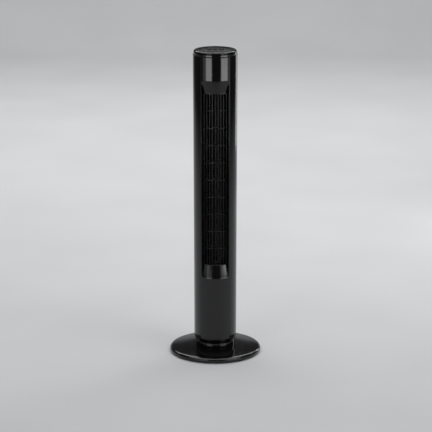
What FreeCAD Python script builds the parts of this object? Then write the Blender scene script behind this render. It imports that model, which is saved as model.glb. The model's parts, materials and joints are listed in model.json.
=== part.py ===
import FreeCAD, Part
import math
import os
import re
import Sketcher
from FreeCAD import Placement, Rotation, Vector

# A free-standing tower fan, in millimetres. +Z is up and the air leaves towards -Y.
# The origin is on the floor, under the axis that the column swivels about.

# ---------------------------------------------------------------- driving dimensions
SIZES = [
    # overall
    ("total_height", 1010, "floor to the top of the cap"),
    ("base_radius", 150, "round foot of the fan"),
    ("column_radius", 71.5, "column at its top"),
    ("column_taper", 2, "radius that the column loses down to its foot"),
    # clearances and common details
    ("fit_gap", 0.3, "clearance between moulded pieces"),
    ("running_gap", 0.1, "radial clearance of a turning or sliding plastic joint"),
    ("bush_gap", 0.05, "radial clearance of a shaft in its bush"),
    ("thread_gap", 0.03, "screw shank to its pilot hole"),
    ("hole_gap", 0.2, "screw shank to a clearance hole"),
    # base
    ("floor_gap", 2.5, "underside of the base above the floor"),
    ("rim_height", 13.7, "edge of the base"),
    ("rim_chamfer", 4.7, "bevel round the top of the edge"),
    ("dome_rise", 6.3, "flat land above the edge"),
    ("base_wall", 2.5, "wall of the base shell"),
    ("plate_thickness", 2.5, "closing plate"),
    ("boss_radius", 4.5, "screw bosses"),
    ("plate_screw_margin", 38, "plate screws in from the rim"),
    ("foot_margin", 22, "rubber feet in from the rim"),
    ("foot_radius", 9, "rubber foot"),
    ("foot_recess", 0.8, "pocket that holds a rubber foot"),
    ("gland_bore", 3, "radius of the mains cord's hole"),
    ("gland_wall", 1, "rubber round the cord"),
    ("gland_lip", 0.8, "flange of the gland beyond its body"),
    ("gland_length", 11, "gland along the cord"),
    ("gland_lip_length", 2, "flange along the cord"),
    # neck and swivel
    ("neck_step", 5.5, "neck inside the foot of the column"),
    ("neck_wall", 3, "wall of the pedestal"),
    ("deck_top", 40, "top of the pedestal above the floor"),
    ("deck_thickness", 3.5, "deck of the pedestal"),
    ("service_margin", 20, "opening under the pedestal, in from the neck"),
    ("post_radius", 17.5, "hollow post that the column turns on"),
    ("post_bore", 13, "cable way through the post"),
    ("post_flange_radius", 27, "flange under the deck"),
    ("post_flange", 3, "thickness of that flange"),
    ("ball_radius", 2.5, "steel bearing ball"),
    ("ball_count", 12, "balls in the race"),
    ("ball_inset", 7.5, "race in from the neck"),
    ("ball_sink", 0.6, "depth of the race's grooves"),
    ("ball_gap", 0.12, "clearance round a ball"),
    ("cage_thickness", 1.6, "ball cage"),
    ("gear_centres", 40, "from the post to the pinion's axis"),
    ("ring_teeth", 48, "fixed gear round the post"),
    ("pinion_teeth", 16, "pinion on the swing motor"),
    ("gear_backlash", 0.09, "thinning of each tooth at its pitch circle"),
    ("gear_height", 6, "face width"),
    ("swing_shaft_radius", 2.5, "shaft of the swing motor"),
    # foot of the column
    ("foot_floor", 50, "underside of the column's floor"),
    ("floor_thickness", 3, "column's floor"),
    ("foot_top", 56, "seam between the foot and the shells"),
    ("skirt_gap", 1, "turning gap between the neck and the skirt"),
    ("spigot_height", 10, "collar inside the shells, above the seam"),
    ("hub_wall", 4.4, "hub round the post"),
    ("hub_height", 8, "hub above the floor"),
    ("retainer_height", 3, "ring that keeps the column on its post"),
    ("swing_motor_radius", 14, "swing gear motor"),
    ("swing_motor_height", 19, "swing gear motor"),
    ("ear_reach", 18, "mounting holes of the swing motor, from its axis"),
    # shells, panel and outlet
    ("shell_wall", 2.5, "front and rear shells"),
    ("seam_gap", 0.4, "joint lines between outer pieces"),
    ("panel_angle", 42, "half of the arc of the front panel"),
    ("panel_thickness", 2.2, "front panel"),
    ("panel_overlap_angle", 3.5, "shell behind the panel's edge"),
    ("outlet_margin", 27, "half of the outlet's width is this much under the column's radius"),
    ("recess_corner", 8, "corner radius of the outlet"),
    ("channel_wall", 2, "side walls of the outlet"),
    ("scoop_height", 42, "sloped face above and below the grille"),
    ("scoop_wall", 2, "thickness of the sloped faces"),
    ("crown_height", 133, "top of the grille below the top of the cap"),
    ("grille_low", 307, "bottom of the grille above the floor"),
    ("grille_cells", 10, "rows of openings in the grille"),
    ("grille_inset", 8.5, "front of the grille inside the foot's radius"),
    ("grille_depth", 10, "depth of the grille"),
    ("bar_count", 9, "upright bars"),
    ("bar_thickness", 1.6, "upright bars"),
    ("rib_setback", 4, "cross ribs behind the front of the bars"),
    ("rib_thickness", 1.6, "cross ribs"),
    ("inlet_angle", 68, "half of the arc of the inlet grille"),
    ("slot_rows", 60, "inlet slots up the column"),
    ("slot_columns", 7, "inlet slots round the column"),
    ("slot_web", 3.5, "plastic between two rows of slots"),
    ("slot_post", 2.4, "plastic between two columns of slots"),
    ("grip_half_width", 41, "hand grip"),
    ("grip_height", 36, "hand grip"),
    ("grip_depth", 25, "hand grip"),
    ("grip_drop", 34, "hand grip below the top of the shells"),
    ("grip_wall", 2, "hand grip"),
    ("grip_corner", 9, "corner radius of the hand grip"),
    ("shell_boss_inset", 14.5, "shell screws inside the foot's outer radius"),
    ("shell_boss_radius", 4, "shell screw bosses"),
    ("shell_screw_low", 140, "lowest pair of shell screws"),
    ("shell_screw_mid", 245, "second pair of shell screws"),
    ("shell_screw_drop", 50, "top pair of shell screws below the top of the shells"),
    ("screw_seat", 10, "seat of a shell screw behind the seam"),
    # air path and impeller
    ("duct_plate", 3, "floor and ceiling of the air path"),
    ("impeller_margin", 27.5, "impeller's radius is this much under the column's"),
    ("impeller_offset", 8, "impeller's axis behind the column's"),
    ("impeller_gap", 3.5, "impeller above the floor and below the ceiling"),
    ("disc_thickness", 2.5, "end discs of the impeller"),
    ("stage_ring", 1.6, "ring between two stages"),
    ("blade_depth", 8.2, "blades measured along a radius"),
    ("blade_thickness", 1.1, "blades"),
    ("blade_count", 22, "blades round the impeller"),
    ("scroll_offset", 6, "scroll's centre from the impeller's, sideways and forwards"),
    ("scroll_gap", 5.5, "closest that the scroll comes to the impeller"),
    ("guide_wall", 2, "scroll and tongue"),
    ("tongue_gap", 3, "tongue to the impeller"),
    # fan motor
    ("shaft_radius", 4, "motor shaft"),
    ("motor_radius", 36, "stator and end caps"),
    ("motor_cap_height", 14, "each end cap"),
    ("stator_height", 28, "lamination stack"),
    ("rotor_radius", 22, "rotor"),
    ("air_gap", 0.5, "rotor to stator"),
    ("cap_wall", 2, "end caps"),
    ("motor_drop", 12, "motor below the duct's floor"),
    ("motor_ear", 43, "motor mounting screws from its axis"),
    ("bush_wall", 3, "sintered bushes"),
    ("bush_length", 8, "sintered bushes"),
    ("stub_radius", 3, "pin at the top of the impeller"),
    # electrics
    ("board_thickness", 1.6, "circuit boards"),
    ("bracket_thickness", 1.5, "steel bracket in the foot"),
    ("power_board_width", 66, "power board"),
    ("power_board_height", 100, "power board"),
    ("harness_radius", 2.3, "wire harness"),
    # cap and controls
    ("cap_height", 14, "cap above the shells"),
    ("cap_step", 1.5, "cap inside the column's top radius"),
    ("cap_bevel", 5.5, "bevel round the cap"),
    ("cap_spigot", 11, "collar inside the shells"),
    ("rim_width", 11.8, "rim round the control panel"),
    ("panel_drop", 2.4, "control panel below the rim"),
    ("control_thickness", 2.5, "control panel"),
    ("ledge_width", 4.7, "ledge under the control panel"),
    ("button_radius", 6.4, "push buttons"),
    ("button_pitch", 19.2, "push buttons, centre to centre"),
    ("button_row", 9.4, "row of buttons in front of the axis"),
    ("button_rise", 0.6, "buttons above the control panel"),
    ("button_travel", 0.8, "stroke of a button"),
    ("button_flange", 1.4, "flange that keeps a button in, thickness"),
    ("lens_half_width", 31, "display window"),
    ("lens_height", 17, "display window, front to back"),
    ("lens_row", 15, "middle of the display window behind the axis"),
    ("board_drop", 11.5, "control board below the control panel"),
    ("board_half_width", 44, "control board"),
    ("board_half_depth", 27, "control board"),
    ("pillar_radius", 3, "pillars that hold the control board"),
    # screws
    ("screw_radius", 1.45, "3 mm screws"),
    ("screw_head", 2.9, "their heads"),
    ("screw_head_height", 1.5, "their heads"),
    ("small_screw_radius", 1, "2 mm screws"),
    ("small_screw_head", 1.9, "their heads"),
    ("small_screw_head_height", 1.1, "their heads"),
]

DOC = FreeCAD.newDocument("tower_fan")
SHEET = DOC.addObject("Spreadsheet::Sheet", "dims")
for row, (alias, value, meaning) in enumerate(SIZES, 1):
    SHEET.set(f"A{row}", meaning)
    SHEET.set(f"B{row}", str(value))
    SHEET.setAlias(f"B{row}", alias)
DOC.recompute()

ALIASES = {alias for alias, _, _ in SIZES}
PARTS = []


def bound(text):
    """An expression over the sheet's cells, from one that gives only their aliases."""
    return re.sub(r"[a-z_]+", lambda w: "dims." + w[0] if w[0] in ALIASES else w[0], text)


def number(text):
    """Present value of such an expression."""
    return float(SHEET.evalExpression(bound(text)))


# ---------------------------------------------------------------- derived sizes, as expressions
def column_at(height):
    """Outer radius of the tapered column at a height."""
    rise = f"(({height}) - foot_top) / ({SHELL_TOP} - foot_top)"
    return f"(column_radius - column_taper + column_taper * {rise})"


FOOT_RADIUS = "(column_radius - column_taper)"
BOSS_REACH = f"({FOOT_RADIUS} - shell_boss_inset)"
SHELL_TOP = "(total_height - cap_height - seam_gap)"
SHELL_LOW = "(foot_top + seam_gap)"
DOME_TOP = "(floor_gap + rim_height + dome_rise)"
PLATE_TOP = "(floor_gap + plate_thickness)"
NECK = f"({FOOT_RADIUS} - neck_step)"
BALL_CIRCLE = f"({NECK} - ball_inset)"
BALL_HEIGHT = "(deck_top + ball_radius - ball_sink)"
RACE_LOW = "(deck_top + 2 * (ball_radius - ball_sink))"
FLOOR_TOP = "(foot_floor + floor_thickness)"
HUB_TOP = "(foot_floor + floor_thickness + hub_height)"
POST_TOP = f"({HUB_TOP} + fit_gap)"
GEAR_MODULE = "(2 * gear_centres / (ring_teeth + pinion_teeth))"
OUTLET = "(column_radius - outlet_margin)"
GRILLE_TOP = "(total_height - crown_height)"
GRILLE_FRONT = f"({FOOT_RADIUS} - grille_inset)"
GRILLE_BACK = f"({GRILLE_FRONT} - grille_depth)"
RECESS_LOW = "(grille_low - scoop_height)"
RECESS_TOP = f"({GRILLE_TOP} + scoop_height)"
DUCT_LOW = "(grille_low - impeller_gap - duct_plate)"
DUCT_TOP = f"({GRILLE_TOP} + impeller_gap)"
DUCT_INNER_LOW = "(grille_low - impeller_gap)"
IMPELLER = "(column_radius - impeller_margin)"
IMPELLER_LOW = "grille_low"
STAGES_LOW = "(grille_low + disc_thickness)"
STAGES_TOP = f"({GRILLE_TOP} - disc_thickness)"
STAGE_PITCH = f"(({STAGES_TOP} - {STAGES_LOW}) / grille_cells)"
MOTOR_TOP = f"({DUCT_LOW} - motor_drop)"
STATOR_TOP = f"({MOTOR_TOP} - motor_cap_height)"
STATOR_LOW = f"({STATOR_TOP} - stator_height)"
MOTOR_LOW = f"({STATOR_LOW} - motor_cap_height)"
CAP_LOW = "(total_height - cap_height)"
CAP_RADIUS = "(column_radius - cap_step)"
CONTROL_RADIUS = f"({CAP_RADIUS} - rim_width)"
CONTROL_TOP = "(total_height - panel_drop)"
CONTROL_LOW = "(total_height - panel_drop - control_thickness)"
BOARD_TOP = f"({CONTROL_LOW} - board_drop)"
BOARD_LOW = f"({BOARD_TOP} - board_thickness)"
GRIP_TOP = f"({SHELL_TOP} - grip_drop)"
GRIP_LOW = f"({GRIP_TOP} - grip_height)"
GRIP_INNER = f"({column_at(GRIP_LOW)} - shell_wall - grip_depth)"


# ---------------------------------------------------------------- drawing and feature helpers
def keep(item, label):
    """Names a finished sub-part and lists it for export."""
    item.Label = label
    PARTS.append(item)
    return item


def new_body(name):
    return DOC.addObject("PartDesign::Body", name)


def new_sketch(body, name, plane, lift="0"):
    """A sketch on one of the body's own origin planes, lifted along that plane's normal."""
    support = [face for face in body.Origin.OriginFeatures if face.Role == plane][0]
    item = body.newObject("Sketcher::SketchObject", name)
    item.AttachmentSupport = [(support, "")]
    item.MapMode = "FlatFace"
    item.setExpression("AttachmentOffset.Base.z", bound(lift))
    return item


def fix_point(item, curve, end, across, up):
    """Ties one point of a curve to two expressions."""
    for kind, text in (("DistanceX", across), ("DistanceY", up)):
        index = item.addConstraint(Sketcher.Constraint(kind, -1, 1, curve, end, number(text)))
        item.setExpression(f"Constraints[{index}]", bound(text))


def outline(item, corners):
    """A closed polygon whose corners are pairs of expressions."""
    first = item.GeometryCount
    points = [Vector(number(across), number(up), 0) for across, up in corners]
    count = len(points)
    for n in range(count):
        item.addGeometry(Part.LineSegment(points[n], points[(n + 1) % count]))
    for n in range(count):
        after = first + (n + 1) % count
        item.addConstraint(Sketcher.Constraint("Coincident", first + n, 2, after, 1))
        fix_point(item, first + n, 1, *corners[n])


def rounded(item, left, right, low, high, corner):
    """A rectangle with round corners: four sides tied by their ends, joined by four arcs."""
    sides = [
        ((f"{left} + {corner}", low), (f"{right} - {corner}", low)),
        ((right, f"{low} + {corner}"), (right, f"{high} - {corner}")),
        ((f"{right} - {corner}", high), (f"{left} + {corner}", high)),
        ((left, f"{high} - {corner}"), (left, f"{low} + {corner}")),
    ]
    centres = [
        (f"{right} - {corner}", f"{low} + {corner}"),
        (f"{right} - {corner}", f"{high} - {corner}"),
        (f"{left} + {corner}", f"{high} - {corner}"),
        (f"{left} + {corner}", f"{low} + {corner}"),
    ]
    first = item.GeometryCount
    for start, end in sides:
        ends = [Vector(number(point[0]), number(point[1]), 0) for point in (start, end)]
        item.addGeometry(Part.LineSegment(*ends))
    for n, (across, up) in enumerate(centres):
        circle = Part.Circle(Vector(number(across), number(up), 0), Vector(0, 0, 1), number(corner))
        begin = (n - 1) * math.pi / 2
        item.addGeometry(Part.ArcOfCircle(circle, begin, begin + math.pi / 2))
    for n, (start, end) in enumerate(sides):
        fix_point(item, first + n, 1, *start)
        fix_point(item, first + n, 2, *end)
    for n, (across, _) in enumerate(centres):
        arc = first + 4 + n
        item.addConstraint(Sketcher.Constraint("Coincident", arc, 1, first + n, 2))
        item.addConstraint(Sketcher.Constraint("Coincident", arc, 2, first + (n + 1) % 4, 1))
        index = item.addConstraint(Sketcher.Constraint("DistanceX", -1, 1, arc, 3, number(across)))
        item.setExpression(f"Constraints[{index}]", bound(across))


def circle(item, across, up, radius):
    """A circle with its centre and radius tied to expressions."""
    centre = Vector(number(across), number(up), 0)
    curve = item.addGeometry(Part.Circle(centre, Vector(0, 0, 1), number(radius)))
    fix_point(item, curve, 3, across, up)
    index = item.addConstraint(Sketcher.Constraint("Radius", curve, number(radius)))
    item.setExpression(f"Constraints[{index}]", bound(radius))


def turn(body, name, corners, sweep="360", facing="all", cut=False):
    """Turns a (radius, height) outline about Z. A part sweep is centred on the front or the rear."""
    plane = "XZ_Plane" if facing == "all" else "YZ_Plane"
    sign = "-" if facing == "front" else ""
    item = new_sketch(body, name + "_outline", plane)
    outline(item, [(f"{sign}({radius})", height) for radius, height in corners])
    feature = body.newObject("PartDesign::Groove" if cut else "PartDesign::Revolution", name)
    feature.Profile = item
    feature.ReferenceAxis = (item, ["V_Axis"])
    feature.setExpression("Angle", bound(sweep))
    feature.Midplane = facing != "all"
    body.Tip = feature
    return feature


def turned(name, corners, sweep="360", facing="all"):
    body = new_body(name)
    turn(body, name + "_turn", corners, sweep, facing)
    return body


def extrude(body, name, item, length, cut=False, back=False):
    """Pads or pockets a sketch. A pocket with no length goes through all."""
    feature = body.newObject("PartDesign::Pocket" if cut else "PartDesign::Pad", name)
    feature.Profile = item
    if length is None:
        feature.Type = "ThroughAll"
    else:
        feature.setExpression("Length", bound(length))
    feature.Reversed = back
    body.Tip = feature
    return feature


def holes(body, name, places, radius, low, depth=None):
    """Upright round holes, upwards from a height."""
    item = new_sketch(body, name + "_circles", "XY_Plane", low)
    for across, up in places:
        circle(item, across, up, radius)
    return extrude(body, name, item, depth, cut=True, back=True)


def pillars(body, name, places, radius, low, length):
    """Upright round posts, upwards from a height."""
    item = new_sketch(body, name + "_circles", "XY_Plane", low)
    for across, up in places:
        circle(item, across, up, radius)
    return extrude(body, name, item, length)


def ring_of(count, radius, start):
    """Places round the Z axis, as pairs of expressions. The first is at start degrees."""
    angles = [start + 360 / count * n for n in range(count)]
    return [(f"({radius}) * cos({a} deg)", f"({radius}) * sin({a} deg)") for a in angles]


def at(item, across="0", along="0", up="0", turn_by=None):
    """Places a Part primitive or a body. turn_by is an axis and degrees, set first."""
    if turn_by:
        item.Placement = Placement(Vector(), Rotation(*turn_by))
    for axis, text in (("x", across), ("y", along), ("z", up)):
        item.setExpression(f"Placement.Base.{axis}", bound(text))
    return item


def primitive(kind, name, **sizes):
    item = DOC.addObject("Part::" + kind, name)
    for size, text in sizes.items():
        item.setExpression(size, bound(text))
    return item


def block(name, left, right, front, rear, low, high):
    """A box between six planes."""
    spans = {"Length": (left, right), "Width": (front, rear), "Height": (low, high)}
    sizes = {side: f"({end}) - ({start})" for side, (start, end) in spans.items()}
    return at(primitive("Box", name, **sizes), left, front, low)


def boolean(kind, name, base, tool):
    item = DOC.addObject("Part::" + kind, name)
    item.Base = base
    item.Tool = tool
    return item


def joined(name, *pieces):
    item = DOC.addObject("Part::MultiFuse", name)
    item.Shapes = list(pieces)
    return item


def group(name, *pieces):
    item = DOC.addObject("Part::Compound", name)
    item.Links = list(pieces)
    return item


def screw(name, radius, length, head, head_height):
    """A cross-head screw that points up, with the seat of its head at the origin."""
    corners = [("0", f"-{head_height}"), (head, f"-{head_height}"), (head, "0")]
    corners += [(radius, "0"), (radius, length), ("0", length)]
    body = turned(name, corners)
    item = new_sketch(body, name + "_cross", "XY_Plane", f"-{head_height}")
    wide, thin = f"({head} * 0.6)", f"({head} * 0.14)"
    cross = [(wide, thin), (thin, thin), (thin, wide)]
    quarters = [("", ""), ("-", ""), ("-", "-"), ("", "-")]
    points = []
    for n, (flip_x, flip_y) in enumerate(quarters):
        steps = cross if n % 2 == 0 else cross[::-1]
        points += [(f"{flip_x}{across}", f"{flip_y}{up}") for across, up in steps]
    outline(item, points)
    extrude(body, name + "_recess", item, f"{head_height} * 0.5", cut=True, back=True)
    return body


def copies(label, pattern, places):
    """One sub-part of identical separate pieces, each a copy of a finished pattern."""
    DOC.recompute()
    item = DOC.addObject("Part::Feature", label)
    item.Shape = Part.makeCompound([pattern.Shape.transformed(p.Matrix, True) for p in places])
    return keep(item, label)


def upright(places, height, down=False):
    """Placements at a height for (x, y) pairs of expressions, upside down for a screw from above."""
    flip = Rotation(Vector(1, 0, 0), 180 if down else 0)
    return [Placement(Vector(number(x), number(y), number(height)), flip) for x, y in places]


# ---------------------------------------------------------------- base
def make_base():
    screws_at = ring_of(6, "base_radius - plate_screw_margin", 30)
    feet_at = ring_of(6, "base_radius - foot_margin", 0)
    neck_screws = ring_of(4, f"{NECK} - 12", 45)
    gland_height = "(floor_gap + gland_bore + gland_wall + gland_lip + 1)"
    rim_top = "(floor_gap + rim_height)"
    land = f"({NECK} + 2)"
    service = f"({NECK} - service_margin)"
    wall = "base_wall"

    shell = turned("base_shell", [
        ("base_radius - 1.2", "floor_gap"), ("base_radius", "floor_gap + 3"),
        ("base_radius", f"{rim_top} - rim_chamfer"), ("base_radius - rim_chamfer", rim_top),
        (land, DOME_TOP), (service, DOME_TOP), (service, f"{DOME_TOP} - {wall}"),
        (land, f"{DOME_TOP} - {wall}"), ("base_radius - rim_chamfer - 1", f"{rim_top} - {wall}"),
        (f"base_radius - {wall}", f"{rim_top} - rim_chamfer - 1"),
        (f"base_radius - {wall}", "floor_gap"),
    ])
    slope = f"(dome_rise * (plate_screw_margin - rim_chamfer) / (base_radius - rim_chamfer - {land}))"
    boss_length = f"{rim_top} + {slope} - {wall} / 2 - {PLATE_TOP}"
    pillars(shell, "plate_bosses", screws_at, "boss_radius", PLATE_TOP, boss_length)
    item = new_sketch(shell, "gland_block_outline", "XY_Plane", f"{PLATE_TOP} + 0.1")
    outline(item, [("-9", "base_radius - gland_length - 1"), ("9", "base_radius - gland_length - 1"),
                   ("9", "base_radius - 2"), ("-9", "base_radius - 2")])
    extrude(shell, "gland_block", item, f"{rim_top} - {wall} + 0.8 - {PLATE_TOP} - 0.1")
    holes(shell, "plate_pilots", screws_at, "screw_radius + thread_gap", PLATE_TOP, "8")
    holes(shell, "neck_screw_holes", neck_screws, "screw_radius + hole_gap", f"{DOME_TOP} - {wall} - 1")
    item = new_sketch(shell, "gland_hole_outline", "XZ_Plane", "-(base_radius - gland_length - 3)")
    circle(item, "0", gland_height, "gland_bore + gland_wall + 0.1")
    extrude(shell, "gland_hole", item, None, cut=True)
    item = new_sketch(shell, "gland_seat_outline", "XZ_Plane", "-(base_radius - gland_lip_length - 0.3)")
    circle(item, "0", gland_height, "gland_bore + gland_wall + gland_lip + 0.1")
    extrude(shell, "gland_seat", item, None, cut=True)
    keep(shell, "base_shell")

    gland = turned("cord_gland", [
        ("gland_bore", "0"), ("gland_bore + gland_wall + gland_lip", "0"),
        ("gland_bore + gland_wall + gland_lip", "gland_lip_length"),
        ("gland_bore + gland_wall", "gland_lip_length"),
        ("gland_bore + gland_wall", "gland_length"), ("gland_bore", "gland_length"),
    ])
    at(gland, "0", "base_radius - 0.2", gland_height, (Vector(1, 0, 0), 90))
    keep(gland, "cord_gland")

    plate = turned("base_plate", [
        (f"{NECK} - 2", "floor_gap"), (f"base_radius - {wall} - fit_gap", "floor_gap"),
        (f"base_radius - {wall} - fit_gap", PLATE_TOP), (f"{NECK} - 2", PLATE_TOP),
    ])
    holes(plate, "foot_pockets", feet_at, "foot_radius + fit_gap", "floor_gap", "foot_recess")
    holes(plate, "plate_screw_holes", screws_at, "screw_radius + hole_gap", "floor_gap")
    holes(plate, "plate_screw_seats", screws_at, "screw_head + hole_gap", "floor_gap",
          "screw_head_height + 0.1")
    item = new_sketch(plate, "gland_notch_outline", "XY_Plane", "floor_gap")
    outline(item, [(f"{side} * (gland_bore + gland_wall + fit_gap)", f"base_radius - {inset}")
                   for side, inset in ((-1, "gland_length - 1"), (1, "gland_length - 1"), (1, "0"), (-1, "0"))])
    extrude(plate, "gland_notch", item, None, cut=True, back=True)
    keep(plate, "base_plate")

    foot = turned("foot_pattern", [
        ("0", "0"), ("foot_radius - 0.8", "0"), ("foot_radius", "0.8"),
        ("foot_radius", "floor_gap + foot_recess"), ("0", "floor_gap + foot_recess"),
    ])
    copies("rubber_feet", foot, upright(feet_at, "0"))
    plate_screw = screw("plate_screw", "screw_radius", "8", "screw_head", "screw_head_height")
    copies("plate_screws", plate_screw, upright(screws_at, "floor_gap + screw_head_height + 0.1"))
    neck_screw = screw("neck_screw", "screw_radius", "10", "screw_head", "screw_head_height")
    copies("pedestal_screws", neck_screw, upright(neck_screws, f"{DOME_TOP} - {wall}"))
    return neck_screws


def make_pedestal(neck_screws):
    deck_low = "(deck_top - deck_thickness)"
    post_screws = ring_of(3, "(post_radius + post_flange_radius) / 2", 90)
    pedestal = turned("pedestal", [
        (NECK, DOME_TOP), (NECK, "deck_top - 1"), (f"{NECK} - 1", "deck_top"),
        ("post_radius + 0.1", "deck_top"), ("post_radius + 0.1", deck_low),
        (f"{NECK} - neck_wall", deck_low), (f"{NECK} - neck_wall", DOME_TOP),
    ])
    pillars(pedestal, "neck_pillars", neck_screws, "boss_radius", DOME_TOP,
            f"{deck_low} - {DOME_TOP} + 0.5")
    holes(pedestal, "neck_pilots", neck_screws, "screw_radius + thread_gap", DOME_TOP, "11")
    holes(pedestal, "post_pilots", post_screws, "small_screw_radius + thread_gap", deck_low, "2.8")
    item = new_sketch(pedestal, "race_outline", "XZ_Plane")
    circle(item, BALL_CIRCLE, BALL_HEIGHT, "ball_radius + ball_gap")
    groove = pedestal.newObject("PartDesign::Groove", "race")
    groove.Profile = item
    groove.ReferenceAxis = (item, ["V_Axis"])
    pedestal.Tip = groove
    keep(pedestal, "pedestal")

    post = turned("swivel_post", [
        ("post_bore", f"{deck_low} - post_flange"), ("post_flange_radius", f"{deck_low} - post_flange"),
        ("post_flange_radius", deck_low), ("post_radius", deck_low),
        ("post_radius", POST_TOP), ("post_bore", POST_TOP),
    ])
    holes(post, "flange_holes", post_screws, "small_screw_radius + hole_gap",
          f"{deck_low} - post_flange", "post_flange")
    retainer_screws = ring_of(3, "(post_radius + post_bore) / 2", 30)
    holes(post, "retainer_pilots", retainer_screws, "small_screw_radius + thread_gap",
          f"{POST_TOP} - 6", "7")
    keep(post, "swivel_post")

    retainer = turned("post_retainer", [
        ("post_bore", POST_TOP), ("post_radius + hub_wall - 0.5", POST_TOP),
        ("post_radius + hub_wall - 0.5", f"{POST_TOP} + retainer_height"),
        ("post_bore", f"{POST_TOP} + retainer_height"),
    ])
    holes(retainer, "retainer_holes", retainer_screws, "small_screw_radius + hole_gap", POST_TOP)
    keep(retainer, "post_retainer")

    post_screw = screw("post_screw", "small_screw_radius", "post_flange + 2.5",
                       "small_screw_head", "small_screw_head_height")
    copies("post_screws", post_screw, upright(post_screws, f"{deck_low} - post_flange"))
    retainer_screw = screw("retainer_screw", "small_screw_radius", "retainer_height + 5",
                           "small_screw_head", "small_screw_head_height")
    top = f"{POST_TOP} + retainer_height"
    copies("retainer_screws", retainer_screw, upright(retainer_screws, top, down=True))


# ---------------------------------------------------------------- swing gears and ball race
def gear_shape(teeth, module, thinning, height, bore):
    """A spur gear with 20 degree involute flanks, a tooth on the +X axis and a round bore."""
    pitch = teeth * module / 2
    base = pitch * math.cos(math.radians(20))
    root, tip = pitch - 1.2 * module, pitch + 0.95 * module
    pressure = math.acos(base / pitch)
    half_pitch = (math.pi * module / 2 - thinning) / 2 / pitch

    def half_angle(radius):
        here = math.acos(min(1, base / radius))
        return half_pitch + (math.tan(pressure) - pressure) - (math.tan(here) - here)

    def spot(radius, angle):
        return Vector(radius * math.cos(angle), radius * math.sin(angle), 0)

    start = max(base, root)
    radii = [start + (tip - start) * n / 6 for n in range(7)]
    edges = []
    for n in range(teeth):
        middle = 2 * math.pi * n / teeth
        after = 2 * math.pi * (n + 1) / teeth
        rising, falling = Part.BSplineCurve(), Part.BSplineCurve()
        rising.interpolate([spot(r, middle - half_angle(r)) for r in radii])
        falling.interpolate([spot(r, middle + half_angle(r)) for r in reversed(radii)])
        low_left, low_right = middle - half_angle(start), middle + half_angle(start)
        if root < start:
            edges.append(Part.LineSegment(spot(root, low_left), spot(start, low_left)))
        edges.append(rising)
        edges.append(Part.Arc(rising.EndPoint, spot(tip, middle), falling.StartPoint))
        edges.append(falling)
        if root < start:
            edges.append(Part.LineSegment(spot(start, low_right), spot(root, low_right)))
        next_left = after - half_angle(start)
        edges.append(Part.Arc(spot(root, low_right), spot(root, (low_right + next_left) / 2),
                              spot(root, next_left)))
    face = Part.Face(Part.Wire([edge.toShape() for edge in edges]))
    blank = face.extrude(Vector(0, 0, height))
    return blank.cut(Part.makeCylinder(bore, height))


def make_swing_drive():
    module, height = number(GEAR_MODULE), number("gear_height")
    thinning = number("gear_backlash")
    gear = DOC.addObject("Part::Feature", "ring_gear")
    gear.Shape = gear_shape(int(number("ring_teeth")), module, thinning, height,
                            number("post_radius + fit_gap"))
    gear.Placement = Placement(Vector(0, 0, number("deck_top")), Rotation(Vector(0, 0, 1), 90))
    keep(gear, "ring_gear")

    pinion = DOC.addObject("Part::Feature", "drive_pinion")
    teeth = int(number("pinion_teeth"))
    pinion.Shape = gear_shape(teeth, module, thinning, height, number("swing_shaft_radius + 0.02"))
    centre = Vector(0, number("gear_centres"), number("deck_top + fit_gap"))
    half_tooth = Rotation(Vector(0, 0, 1), 90 + 180 / teeth)
    pinion.Placement = Placement(centre, half_tooth)
    keep(pinion, "drive_pinion")

    shaft = primitive("Cylinder", "swing_shaft", Radius="swing_shaft_radius",
                      Height=f"{FLOOR_TOP} + swing_motor_height / 2 - deck_top - fit_gap")
    at(shaft, "0", "gear_centres", "deck_top + fit_gap")
    keep(shaft, "swing_shaft")

    cage_half = "(ball_radius + 1.4)"
    cage_low = f"({BALL_HEIGHT} - cage_thickness / 2)"
    cage_top = f"({BALL_HEIGHT} + cage_thickness / 2)"
    cage = turned("ball_cage", [
        (f"{BALL_CIRCLE} - {cage_half}", cage_low), (f"{BALL_CIRCLE} + {cage_half}", cage_low),
        (f"{BALL_CIRCLE} + {cage_half}", cage_top), (f"{BALL_CIRCLE} - {cage_half}", cage_top),
    ])
    balls_at = ring_of(int(number("ball_count")), BALL_CIRCLE, 0)
    holes(cage, "ball_pockets", balls_at, "ball_radius + ball_gap", cage_low)
    keep(cage, "ball_cage")
    ball = primitive("Sphere", "ball_pattern", Radius="ball_radius")
    copies("bearing_balls", ball, upright(balls_at, BALL_HEIGHT))


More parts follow.
